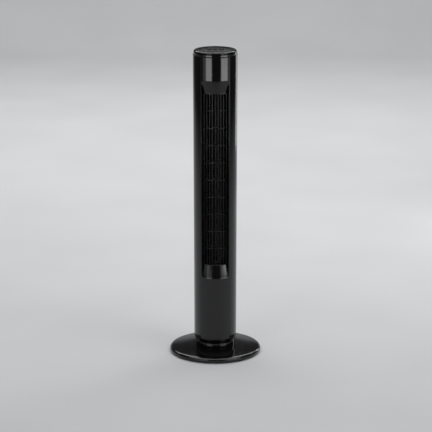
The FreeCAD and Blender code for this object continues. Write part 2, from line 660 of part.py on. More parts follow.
# ---------------------------------------------------------------- foot of the column
def make_column_foot():
    skirt_low = "(deck_top + skirt_gap)"
    skirt_outer = f"({NECK} + 0.6)"
    race_half = "(ball_radius + 1.2)"
    collar = f"({FOOT_RADIUS} - panel_thickness - seam_gap / 4 - shell_wall - fit_gap)"
    collar_top = "(foot_top + spigot_height)"
    bore = "(post_radius + running_gap)"
    foot = turned("column_foot", [
        (bore, "foot_floor"), (f"{BALL_CIRCLE} - {race_half}", "foot_floor"),
        (f"{BALL_CIRCLE} - {race_half}", RACE_LOW), (f"{BALL_CIRCLE} + {race_half}", RACE_LOW),
        (f"{BALL_CIRCLE} + {race_half}", "foot_floor"), (f"{collar} - 3", "foot_floor"),
        (f"{skirt_outer} - shell_wall", skirt_low), (skirt_outer, skirt_low),
        (FOOT_RADIUS, "foot_top"), (collar, "foot_top"), (collar, collar_top),
        (f"{collar} - shell_wall", collar_top), (f"{collar} - shell_wall", FLOOR_TOP),
        ("post_radius + hub_wall", FLOOR_TOP), ("post_radius + hub_wall", HUB_TOP), (bore, HUB_TOP),
    ])
    rear_collar = f"({FOOT_RADIUS} - shell_wall - fit_gap)"
    turn(foot, "rear_collar", [
        (f"{collar} - 1", "foot_top - 1"), (rear_collar, "foot_top - 1"),
        (rear_collar, collar_top), (f"{collar} - 1", collar_top),
    ], "360 - 2 * (panel_angle + panel_overlap_angle + 1)", "rear")
    item = new_sketch(foot, "upper_race_outline", "XZ_Plane")
    circle(item, BALL_CIRCLE, BALL_HEIGHT, "ball_radius + ball_gap")
    groove = foot.newObject("PartDesign::Groove", "upper_race")
    groove.Profile = item
    groove.ReferenceAxis = (item, ["V_Axis"])
    foot.Tip = groove
    holes(foot, "swing_shaft_hole", [("0", "gear_centres")], "swing_shaft_radius + 0.7",
          "foot_floor - 1", "floor_thickness + 2")
    ears = [(f"{side} * ear_reach", "gear_centres") for side in (-1, 1)]
    holes(foot, "swing_motor_pilots", ears, "small_screw_radius + thread_gap",
          "foot_floor - 1", "floor_thickness + 2")
    keep(foot, "column_foot")

    motor = turned("swing_motor", [
        ("swing_shaft_radius + bush_gap", "0"), ("swing_motor_radius", "0"),
        ("swing_motor_radius", "swing_motor_height"), ("0", "swing_motor_height"),
        ("0", "swing_motor_height / 2 + 0.5"), ("swing_shaft_radius + bush_gap", "swing_motor_height / 2 + 0.5"),
    ])
    item = new_sketch(motor, "ears_outline", "XY_Plane")
    rounded(item, "-(ear_reach + 3.4)", "(ear_reach + 3.4)", "-3.5", "3.5", "3")
    circle(item, "0", "0", "swing_shaft_radius + bush_gap")
    extrude(motor, "ears", item, "1")
    holes(motor, "ear_holes", [("-ear_reach", "0"), ("ear_reach", "0")],
          "small_screw_radius + hole_gap", "-1", "3")
    at(motor, "0", "gear_centres", FLOOR_TOP)
    keep(motor, "swing_motor")
    ear_screw = screw("ear_screw", "small_screw_radius", "floor_thickness + 0.8",
                      "small_screw_head", "small_screw_head_height")
    copies("swing_motor_screws", ear_screw, upright(ears, f"{FLOOR_TOP} + 1", down=True))


# ---------------------------------------------------------------- shells, panel and grilles
def wall_outline(outer, inner, low=SHELL_LOW, high=SHELL_TOP):
    """Section of a tapered wall, from one depth under the column's surface to another."""
    return [(f"{column_at(low)} - ({outer})", low), (f"{column_at(high)} - ({outer})", high),
            (f"{column_at(high)} - ({inner})", high), (f"{column_at(low)} - ({inner})", low)]


SHELL_SCREW_LEVELS = ["shell_screw_low", "shell_screw_mid", f"({SHELL_TOP} - shell_screw_drop)"]


def shell_screw_places(levels=SHELL_SCREW_LEVELS):
    return [(f"{side} * {BOSS_REACH}", up) for up in levels for side in (-1, 1)]


def seam_circles(body, name, places, radius, lift):
    """Circles on the plane between the two shells, or beside it."""
    item = new_sketch(body, name, "XZ_Plane", lift)
    for across, up in places:
        circle(item, across, up, radius)
    return item


def shell_bosses(body, name, lift, back):
    """Screw bosses from the seam until their outer side is inside the tapered wall."""
    for n, level in enumerate(SHELL_SCREW_LEVELS, 1):
        item = seam_circles(body, f"{name}_circles_{n}", shell_screw_places([level]),
                            "shell_boss_radius", lift)
        reach = f"({column_at(level)} - shell_wall / 2) ^ 2 - ({BOSS_REACH} + shell_boss_radius) ^ 2"
        extrude(body, f"{name}_{n}", item, f"sqrt({reach})", back=back)


def make_front_shell():
    half_turn = f"180 - seam_gap / {FOOT_RADIUS} * 180 / pi"
    behind = "panel_thickness + seam_gap / 4"
    shell = turned("front_shell", wall_outline("0", "shell_wall"), half_turn, "front")
    turn(shell, "panel_backing", wall_outline("0.2", f"{behind} + shell_wall"),
         "2 * (panel_angle + panel_overlap_angle)", "front")
    turn(shell, "panel_seat", wall_outline("-5", behind, f"{SHELL_LOW} - 5", f"{SHELL_TOP} + 5"),
         f"2 * (panel_angle + seam_gap / {FOOT_RADIUS} * 180 / pi)", "front", cut=True)
    window = f"({OUTLET} + channel_wall + fit_gap)"
    item = new_sketch(shell, "outlet_outline", "XZ_Plane")
    rounded(item, f"-{window}", window, f"({RECESS_LOW} - 3.5)", f"({RECESS_TOP} + 3.5)", "2")
    extrude(shell, "outlet", item, None, cut=True, back=True)
    shell_bosses(shell, "boss", "seam_gap / 2", back=False)
    item = seam_circles(shell, "pilot_circles", shell_screw_places(), "screw_radius + thread_gap",
                        "seam_gap / 2")
    extrude(shell, "pilots", item, "16", cut=True, back=True)
    keep(shell, "front_shell")


def make_front_panel():
    skin = turned("panel_skin", wall_outline("0", "panel_thickness"), "2 * panel_angle", "front")
    item = new_sketch(skin, "recess_outline", "XZ_Plane")
    rounded(item, f"-{OUTLET}", OUTLET, RECESS_LOW, RECESS_TOP, "recess_corner")
    extrude(skin, "recess", item, None, cut=True, back=True)

    def scoop(name, edge, grille_edge, lift):
        """Sloped face from the panel's surface in to the grille, trimmed to the outlet's width."""
        band = turned(name + "_band", [
            (column_at(edge), edge), (GRILLE_FRONT, grille_edge),
            (f"{GRILLE_FRONT} - scoop_wall", grille_edge),
            (f"{column_at(edge)} - panel_thickness", f"({edge}) + {lift}"),
        ], "150", "front")
        half = f"({OUTLET} + channel_wall)"
        limits = block(name + "_limits", f"-{half}", half, "-column_radius - 5", "0",
                       f"{RECESS_LOW} - 10", f"{RECESS_TOP} + 10")
        return boolean("Common", name, band, limits)

    upper = scoop("upper_scoop", RECESS_TOP, GRILLE_TOP, "2.5")
    lower = scoop("lower_scoop", RECESS_LOW, "grille_low", "(-2.5)")
    ring = turned("channel_ring", [
        (f"{column_at(RECESS_LOW)} - 1", RECESS_LOW), (f"{column_at(RECESS_TOP)} - 1", RECESS_TOP),
        (GRILLE_BACK, RECESS_TOP), (GRILLE_BACK, RECESS_LOW),
    ], "150", "front")
    half = f"({OUTLET} + channel_wall)"
    wide = block("channel_outside", f"-{half}", half, "-column_radius", "0", RECESS_LOW, RECESS_TOP)
    narrow = block("channel_inside", f"-{OUTLET}", OUTLET, "-column_radius - 1", "1",
                   f"{RECESS_LOW} - 1", f"{RECESS_TOP} + 1")
    walls = boolean("Cut", "channel_walls", boolean("Common", "channel_solid", ring, wide), narrow)
    keep(joined("front_panel", skin, upper, lower, walls), "front_panel")


def make_front_grille():
    low, high = "(grille_low + 0.1)", f"({GRILLE_TOP} - 0.1)"
    half = f"({OUTLET} - 0.15)"

    def sector(name, setback):
        front = f"{GRILLE_FRONT} - {setback}"
        return turned(name, [(GRILLE_BACK, low), (front, low), (front, high), (GRILLE_BACK, high)],
                      "170", "front")

    outside = block("grille_outside", f"-{half}", half, "-column_radius", "0", low, high)
    inside = block("grille_inside", f"-({half} - bar_thickness)", f"{half} - bar_thickness",
                   "-column_radius - 1", "1", f"{low} + 2", f"{high} - 2")
    frame = boolean("Cut", "grille_frame",
                    boolean("Common", "grille_solid", sector("grille_sector", "0"), outside), inside)
    count = int(number("bar_count"))
    bars = []
    for n in range(count):
        centre = f"({n - (count - 1) / 2} * 2 * {OUTLET} / (bar_count + 1))"
        bars.append(block(f"bar_blank_{n + 1}", f"{centre} - bar_thickness / 2",
                          f"{centre} + bar_thickness / 2", "-column_radius", "-10", low, high))
    ribs = []
    for n in range(1, int(number("grille_cells"))):
        level = f"(grille_low + {n} * ({GRILLE_TOP} - grille_low) / grille_cells)"
        ribs.append(block(f"rib_blank_{n}", f"-({half} - 0.5)", f"{half} - 0.5", "-column_radius",
                          "-10", f"{level} - rib_thickness / 2", f"{level} + rib_thickness / 2"))
    upright_bars = boolean("Common", "upright_bars", sector("bar_sector", "0"),
                           group("bar_blanks", *bars))
    cross_ribs = boolean("Common", "cross_ribs", sector("rib_sector", "rib_setback"),
                         group("rib_blanks", *ribs))
    keep(joined("front_grille", frame, upright_bars, cross_ribs), "front_grille")


def make_rear_shell():
    half_turn = f"180 - seam_gap / {FOOT_RADIUS} * 180 / pi"
    shell = turned("rear_shell", wall_outline("0", "shell_wall"), half_turn, "rear")
    turn(shell, "inlet_window", wall_outline("-5", "10", "grille_low", GRILLE_TOP),
         "2 * inlet_angle", "rear", cut=True)
    item = new_sketch(shell, "grip_outline", "XZ_Plane")
    rounded(item, "-grip_half_width", "grip_half_width", GRIP_LOW, GRIP_TOP, "grip_corner")
    extrude(shell, "grip_window", item, None, cut=True)
    shell_bosses(shell, "rear_boss", "-seam_gap / 2", back=True)
    item = seam_circles(shell, "screw_circles", shell_screw_places(), "screw_radius + hole_gap", "0")
    extrude(shell, "screw_ways", item, None, cut=True)
    item = seam_circles(shell, "seat_circles", shell_screw_places(), "screw_head + hole_gap",
                        "-screw_seat")
    extrude(shell, "screw_seats", item, None, cut=True)
    keep(shell, "rear_shell")

    shell_screw = screw("shell_screw", "screw_radius", "screw_seat + 12", "screw_head",
                        "screw_head_height")
    facing_front = Rotation(Vector(1, 0, 0), 90)
    places = [Placement(Vector(number(x), number("screw_seat"), number(z)), facing_front)
              for x, z in shell_screw_places()]
    copies("shell_screws", shell_screw, places)

    half = "(grip_half_width + grip_wall)"
    outside = block("grip_outside", f"-{half}", half, f"{GRIP_INNER} - grip_wall", "column_radius",
                    f"{GRIP_LOW} - grip_wall", f"{GRIP_TOP} + grip_wall")
    hollow = new_body("grip_hollow")
    item = new_sketch(hollow, "grip_hollow_outline", "XZ_Plane", f"-{GRIP_INNER}")
    rounded(item, "-grip_half_width", "grip_half_width", GRIP_LOW, GRIP_TOP, "grip_corner")
    extrude(hollow, "grip_hollow_pad", item, "grip_depth + 20", back=True)
    inside = primitive("Cone", "grip_limits", Height=f"{SHELL_TOP} - foot_top",
                       Radius1=f"{FOOT_RADIUS} - shell_wall - 0.1",
                       Radius2="column_radius - shell_wall - 0.1")
    at(inside, up="foot_top")
    cup = boolean("Cut", "grip_cup", outside, hollow)
    keep(boolean("Common", "hand_grip", cup, inside), "hand_grip")


def make_rear_grille():
    """Inlet grille: a tapered sheet with rows of level slots."""
    blank = turned("inlet_blank", wall_outline("0.1", "shell_wall", "grille_low + 0.2",
                                               f"{GRILLE_TOP} - 0.2"),
                   "2 * inlet_angle - 0.4", "rear")
    rows, columns = int(number("slot_rows")), int(number("slot_columns"))
    low, high = number("grille_low + 3"), number(f"{GRILLE_TOP} - 3")
    pitch = (high - low) / rows
    height = pitch - number("slot_web")
    step = 2 * number("inlet_angle - 2") / columns
    width = math.radians(step) * number(FOOT_RADIUS) - number("slot_post")
    reach, depth = number(FOOT_RADIUS) - 8, 16
    tool = Part.makeBox(width, depth, height, Vector(-width / 2, reach, 0))
    slots = []
    for column in range(columns):
        turned_by = Rotation(Vector(0, 0, 1), step * (column - (columns - 1) / 2))
        for n in range(rows):
            up = Vector(0, 0, low + pitch * n + number("slot_web") / 2)
            slot = tool.copy()
            slot.Placement = Placement(up, turned_by)
            slots.append(slot)
    item = DOC.addObject("Part::Feature", "inlet_slots")
    item.Shape = Part.makeCompound(slots)
    keep(boolean("Cut", "inlet_grille", blank, item), "inlet_grille")


# ---------------------------------------------------------------- air path
def outlet_clearance(name):
    """Space that the panel's channel and the grille take out of a plate in the air path."""
    half = f"({OUTLET} + channel_wall + 2.5)"
    ring = turned(name + "_ring", [
        (f"{GRILLE_BACK} - fit_gap", "grille_low - 60"), ("column_radius + 10", "grille_low - 60"),
        ("column_radius + 10", f"{GRILLE_TOP} + 60"), (f"{GRILLE_BACK} - fit_gap", f"{GRILLE_TOP} + 60"),
    ], "170", "front")
    limits = block(name + "_limits", f"-{half}", half, "-column_radius - 20", "0",
                   "grille_low - 60", f"{GRILLE_TOP} + 60")
    return boolean("Common", name, ring, limits)


def duct_disc(name, low):
    body = new_body(name)
    item = new_sketch(body, name + "_outline", "XY_Plane", low)
    circle(item, "0", "0", f"{column_at(low)} - shell_wall - fit_gap")
    extrude(body, name + "_pad", item, "duct_plate")
    holes(body, name + "_harness_hole", [harness_place()], "harness_radius + 0.5",
          f"{low} - 1", "duct_plate + 2")
    return body


def harness_place():
    return (f"-({FOOT_RADIUS} - shell_wall - harness_radius - 1) * cos(10 deg)",
            f"({FOOT_RADIUS} - shell_wall - harness_radius - 1) * sin(10 deg)")


def motor_screw_places():
    angles = (30, 150, 270)
    return [(f"motor_ear * cos({a} deg)", f"impeller_offset + motor_ear * sin({a} deg)") for a in angles]


def make_duct():
    hub_hole = [("0", "impeller_offset")]
    floor = duct_disc("duct_floor_blank", DUCT_LOW)
    pillars(floor, "motor_bosses", motor_screw_places(), "boss_radius",
            f"{MOTOR_TOP} + 2", f"{DUCT_LOW} - {MOTOR_TOP} - 2 + duct_plate / 2")
    holes(floor, "motor_hub_hole", hub_hole, "shaft_radius + 6", f"{DUCT_LOW} - 1", "duct_plate + 2")
    holes(floor, "motor_pilots", motor_screw_places(), "screw_radius + thread_gap",
          f"{MOTOR_TOP} + 2", "9")
    keep(boolean("Cut", "duct_floor", floor, outlet_clearance("floor_clearance")), "duct_floor")

    ceiling = duct_disc("duct_ceiling_blank", DUCT_TOP)
    seat = "(stub_radius + bush_gap + bush_wall + 3)"
    pillars(ceiling, "bearing_boss", hub_hole, f"{seat} + 3", f"{DUCT_TOP} + 1",
            "duct_plate + bush_length - 2")
    holes(ceiling, "bearing_seat", hub_hole, seat, f"{DUCT_TOP} - 1")
    keep(boolean("Cut", "duct_ceiling", ceiling, outlet_clearance("ceiling_clearance")),
         "duct_ceiling")

    bush = "(stub_radius + bush_gap + bush_wall)"
    axis = ("0", "impeller_offset", "0")
    low, high = f"{DUCT_TOP}", f"({DUCT_TOP} + duct_plate + bush_length - 2)"
    rubber = turned("bush_seat", [(bush, low), (seat, low), (seat, high), (bush, high)])
    keep(at(rubber, *axis), "bush_seat")
    sleeve = turned("top_bush", [
        ("stub_radius + bush_gap", low), (bush, low), (bush, high), ("stub_radius + bush_gap", high)])
    keep(at(sleeve, *axis), "top_bush")

    scroll_radius = f"({IMPELLER} + scroll_gap + scroll_offset * sqrt(2))"
    scroll = new_body("scroll_guide")
    past_channel = f"({OUTLET} + channel_wall + 0.6 + scroll_offset)"
    start, end = 135, 180 + number(f"acos({past_channel} / {scroll_radius})")
    item = new_sketch(scroll, "scroll_outline", "XZ_Plane")
    outline(item, [(scroll_radius, DUCT_INNER_LOW), (f"{scroll_radius} + guide_wall", DUCT_INNER_LOW),
                   (f"{scroll_radius} + guide_wall", DUCT_TOP), (scroll_radius, DUCT_TOP)])
    sweep = scroll.newObject("PartDesign::Revolution", "scroll_sweep")
    sweep.Profile = item
    sweep.ReferenceAxis = (item, ["V_Axis"])
    sweep.Angle = end - start
    sweep.Midplane = True
    scroll.Tip = sweep
    at(scroll, "scroll_offset", "impeller_offset - scroll_offset", "0",
       (Vector(0, 0, 1), (start + end) / 2))
    keep(scroll, "scroll_guide")

    nose = f"({IMPELLER} + tongue_gap + 0.6)"
    side = f"({OUTLET} - 2 * fit_gap)"
    tongue = new_body("tongue_guide")
    item = new_sketch(tongue, "tongue_outline", "XY_Plane", DUCT_INNER_LOW)
    outline(item, [
        (f"{side} - guide_wall", f"-sqrt({GRILLE_BACK} ^ 2 - {side} ^ 2) + 2 * fit_gap"),
        (side, f"-sqrt({GRILLE_BACK} ^ 2 - {side} ^ 2) + 2 * fit_gap"),
        (side, f"impeller_offset - sqrt({nose} ^ 2 - {side} ^ 2)"),
        (f"{nose} * cos(33 deg)", f"impeller_offset - {nose} * sin(33 deg)"),
        (f"{nose} * cos(36 deg)", f"impeller_offset - {nose} * sin(36 deg) - 0.4"),
    ])
    extrude(tongue, "tongue_pad", item, f"{DUCT_TOP} - {DUCT_INNER_LOW}")
    keep(tongue, "tongue_guide")


# ---------------------------------------------------------------- impeller
def stage_shape():
    """One moulded stage: curved blades under a ring, on the Z axis, from 0 up."""
    outer, pitch = number(IMPELLER), number(STAGE_PITCH)
    ring, depth = number("stage_ring"), number("blade_depth")
    tip, heel = outer - 0.4, outer - 0.4 - depth
    skin = number("blade_thickness")
    sweep = [(heel, 0.0), (heel + 0.55 * depth, 1.5), (tip, 7.5)]

    def curve(offset):
        return [Vector(r * math.cos(math.radians(a) + offset / r),
                       r * math.sin(math.radians(a) + offset / r), 0) for r, a in sweep]

    near, far = curve(0), curve(skin)
    edges = [Part.Arc(*near), Part.LineSegment(near[2], far[2]), Part.Arc(*reversed(far)),
             Part.LineSegment(far[0], near[0])]
    blade = Part.Face(Part.Wire([edge.toShape() for edge in edges]))
    blade = blade.extrude(Vector(0, 0, pitch - ring))
    annulus = Part.makeCylinder(outer, ring, Vector(0, 0, pitch - ring))
    annulus = annulus.cut(Part.makeCylinder(heel - 1, ring, Vector(0, 0, pitch - ring)))
    count = int(number("blade_count"))
    blades = []
    for n in range(count):
        copy = blade.copy()
        copy.rotate(Vector(), Vector(0, 0, 1), 360 / count * n)
        blades.append(copy)
    return annulus.fuse(blades)


def make_impeller():
    axis = ("0", "impeller_offset", "0")
    insert = "(shaft_radius + 3)"
    insert_top = f"({STAGES_LOW} + 14)"
    hub = turned("impeller_hub", [
        (insert, IMPELLER_LOW), (IMPELLER, IMPELLER_LOW), (IMPELLER, STAGES_LOW),
        (f"{insert} + 5", STAGES_LOW), (f"{insert} + 3", insert_top), (insert, insert_top),
    ])
    keep(at(hub, *axis), "impeller_hub")
    sleeve = turned("hub_insert", [
        ("shaft_radius", IMPELLER_LOW), (insert, IMPELLER_LOW), (insert, insert_top),
        ("shaft_radius", insert_top)])
    keep(at(sleeve, *axis), "hub_insert")

    pattern = DOC.addObject("Part::Feature", "stage_pattern")
    pattern.Shape = stage_shape()
    pitch, low = number(STAGE_PITCH), number(STAGES_LOW)
    offset = number("impeller_offset")
    places = [Placement(Vector(0, offset, low + pitch * n), Rotation())
              for n in range(int(number("grille_cells")))]
    copies("impeller_stages", pattern, places)

    top = turned("impeller_cap", [
        ("0", STAGES_TOP), (IMPELLER, STAGES_TOP), (IMPELLER, GRILLE_TOP), ("stub_radius", GRILLE_TOP),
        ("stub_radius", f"{DUCT_TOP} + duct_plate + bush_length"),
        ("0", f"{DUCT_TOP} + duct_plate + bush_length")])
    keep(at(top, *axis), "impeller_cap")


# ---------------------------------------------------------------- fan motor
def make_motor():
    axis = ("0", "impeller_offset", "0")
    shaft = primitive("Cylinder", "motor_shaft", Radius="shaft_radius",
                      Height=f"{STAGES_LOW} + 14 - {MOTOR_LOW} + 4")
    keep(at(shaft, "0", "impeller_offset", f"{MOTOR_LOW} - 4"), "motor_shaft")
    rotor = turned("motor_rotor", [
        ("shaft_radius", f"{STATOR_LOW} + 1"), ("rotor_radius", f"{STATOR_LOW} + 1"),
        ("rotor_radius", f"{STATOR_TOP} - 1"), ("shaft_radius", f"{STATOR_TOP} - 1")])
    keep(at(rotor, *axis), "motor_rotor")
    bore = "(rotor_radius + air_gap)"
    stator = turned("motor_stator", [
        (bore, STATOR_LOW), ("motor_radius", STATOR_LOW), ("motor_radius", STATOR_TOP), (bore, STATOR_TOP)])
    keep(at(stator, *axis), "motor_stator")

    coil = [(f"{bore} + 1", "0"), ("motor_radius - cap_wall - 1", "0"),
            ("motor_radius - cap_wall - 1", "6"), ("motor_radius - cap_wall - 3", "8"),
            (f"{bore} + 3", "8"), (f"{bore} + 1", "6")]
    winding = turned("winding_pattern", coil)
    offset = number("impeller_offset")
    over = Placement(Vector(0, offset, number(STATOR_TOP)), Rotation())
    under = Placement(Vector(0, offset, number(STATOR_LOW)), Rotation(Vector(1, 0, 0), 180))
    copies("motor_windings", winding, [over, under])

    seat = "(shaft_radius + bush_gap + bush_wall)"

    def end_cap(name, base, tip, way):
        """Cup over one end of the stator, with a seat for its bush. way is +1 up, -1 down."""
        inner = f"({tip} - {way} * cap_wall)"
        seat_end = f"({tip} - {way} * bush_length)"
        return turned(name, [
            ("motor_radius", base), ("motor_radius", tip), (seat, tip), (seat, seat_end),
            (f"{seat} + 2", seat_end), (f"{seat} + 2", inner), ("motor_radius - cap_wall", inner),
            ("motor_radius - cap_wall", base)])

    upper = end_cap("motor_upper_cap", STATOR_TOP, MOTOR_TOP, 1)
    ear_places = [("motor_ear * cos(%d deg)" % a, "motor_ear * sin(%d deg)" % a) for a in (30, 150, 270)]
    for n, angle in enumerate((30, 150, 270), 1):
        item = new_sketch(upper, f"ear_outline_{n}", "XY_Plane", f"{MOTOR_TOP} - 3")
        item.AttachmentOffset = Placement(Vector(), Rotation(Vector(0, 0, 1), angle))
        outline(item, [("motor_radius - 1", "-5"), ("motor_ear + 5", "-5"),
                       ("motor_ear + 5", "5"), ("motor_radius - 1", "5")])
        extrude(upper, f"ear_{n}", item, "3")
    holes(upper, "grommet_holes", ear_places, "3.2", f"{MOTOR_TOP} - 4", "5")
    keep(at(upper, *axis), "motor_upper_cap")
    lower = end_cap("motor_lower_cap", STATOR_LOW, MOTOR_LOW, -1)
    keep(at(lower, *axis), "motor_lower_cap")

    bush = turned("bush_pattern", [
        ("shaft_radius + bush_gap", "0"), (seat, "0"), (seat, "bush_length"),
        ("shaft_radius + bush_gap", "bush_length")])
    places = [Placement(Vector(0, offset, number(f"{MOTOR_TOP} - bush_length")), Rotation()),
              Placement(Vector(0, offset, number(MOTOR_LOW)), Rotation())]
    copies("motor_bushes", bush, places)

    grommet = turned("grommet_pattern", [
        ("screw_radius + hole_gap", "-5"), ("5", "-5"), ("5", "-3"), ("3.1", "-3"), ("3.1", "0"),
        ("5", "0"), ("5", "2"), ("screw_radius + hole_gap", "2")])
    copies("motor_grommets", grommet, upright(motor_screw_places(), MOTOR_TOP))
    motor_screw = screw("motor_screw", "screw_radius", "15", "screw_head + 1", "screw_head_height")
    copies("motor_screws", motor_screw, upright(motor_screw_places(), f"{MOTOR_TOP} - 5"))


# ---------------------------------------------------------------- electrics in the foot
def make_power_board():
    face = "-26"
    low = f"({FLOOR_TOP} + 30)"
    wall = block("bracket_wall", "-30", "30", f"{face} - bracket_thickness", face,
                 FLOOR_TOP, f"{low} + power_board_height - 10")
    flange = block("bracket_flange", "-30", "30", face, f"{face} + 3", FLOOR_TOP,
                   f"{FLOOR_TOP} + bracket_thickness")
    toe = block("bracket_toe", "-30", "30", f"{face} - 16", f"{face} - 1", FLOOR_TOP,
                f"{FLOOR_TOP} + bracket_thickness")
    keep(joined("board_bracket", wall, flange, toe), "board_bracket")

    back = f"({face} - bracket_thickness - 4)"
    half = "(power_board_width / 2)"
    board = block("board_sheet", f"-{half}", half, f"{back} - board_thickness", back, low,
                  f"{low} + power_board_height")
    pieces = [board]
    for n, (across, up) in enumerate(((-24, 10), (24, 10), (-24, 80), (24, 80)), 1):
        spacer = primitive("Cylinder", f"spacer_{n}", Radius="2.5", Height="4")
        at(spacer, str(across), back, f"{low} + {up}", (Vector(1, 0, 0), -90))
        pieces.append(spacer)
    parts_on_board = {"transformer": (-22, 8, 14, 24, 18), "terminal": (-4, 26, 9, 12, 60),
                      "chip": (-20, 0, 3, 14, 56), "relay": (12, 28, 11, 16, 80)}
    for name, (left, right, depth, tall, up) in parts_on_board.items():
        pieces.append(block(f"board_{name}", str(left), str(right),
                            f"{back} - board_thickness - {depth}", f"{back} - board_thickness",
                            f"{low} + {up}", f"{low} + {up + tall}"))
    keep(joined("power_board", *pieces), "power_board")

    can = block("capacitor_can", "-18", "18", f"{face}", f"{face} + 13", f"{low} + 55", f"{low} + 80")
    rounded_can = DOC.addObject("Part::Fillet", "motor_capacitor")
    rounded_can.Base = can
    DOC.recompute()
    upright_edges = [n for n, edge in enumerate(can.Shape.Edges, 1)
                     if abs(edge.Vertexes[0].Z - edge.Vertexes[-1].Z) > 1]
    rounded_can.Edges = [(n, 3.0, 3.0) for n in upright_edges]
    keep(rounded_can, "motor_capacitor")


def harness_path():
    """Straight runs joined by tangent arcs, from the power board up to the control board."""
    x, y = (number(text) for text in harness_place())
    low = number(f"{FLOOR_TOP} + 30 + power_board_height + harness_radius")
    top = number(f"{BOARD_LOW} - harness_radius - 14")
    corners = [Vector(-24, -32, low), Vector(-38, -24, low + 14), Vector(x + 2, -8, low + 32),
               Vector(x, y, low + 58), Vector(x, y, top - 28), Vector(x + 4, y - 2, top - 12),
               Vector(-40, y - 5, top), Vector(-30, 6, top + 13.9)]
    edges, last = [], corners[0]
    for before, corner, after in zip(corners, corners[1:], corners[2:]):
        into, out = (corner - before), (after - corner)
        turn_angle = into.getAngle(out)
        reach = 0.45 * min(into.Length, out.Length)
        start = corner - into.normalize() * reach
        end = corner + out.normalize() * reach
        radius = reach / math.tan(turn_angle / 2)
        bisector = (out - into).normalize()
        middle = corner + bisector * (radius / math.cos(turn_angle / 2) - radius)
        edges += [Part.LineSegment(last, start).toShape(), Part.Arc(start, middle, end).toShape()]
        last = end
    edges.append(Part.LineSegment(last, corners[-1]).toShape())
    return Part.Wire(edges)


def make_harness():
    path = harness_path()
    start = path.Edges[0].Curve
    direction = start.Direction
    ring = Part.Wire(Part.makeCircle(number("harness_radius"), path.Edges[0].Vertexes[0].Point, direction))
    item = DOC.addObject("Part::Feature", "wire_harness")
    item.Shape = path.makePipeShell([ring], True, False)
    expected = math.pi * number("harness_radius") ** 2 * path.Length
    print(f"harness volume over section times length: {item.Shape.Volume / expected:.4f}")
    keep(item, "wire_harness")


# ---------------------------------------------------------------- cap and controls
def button_places():
    return [(f"{n} * button_pitch", "-button_row") for n in (-1.5, -0.5, 0.5, 1.5)]


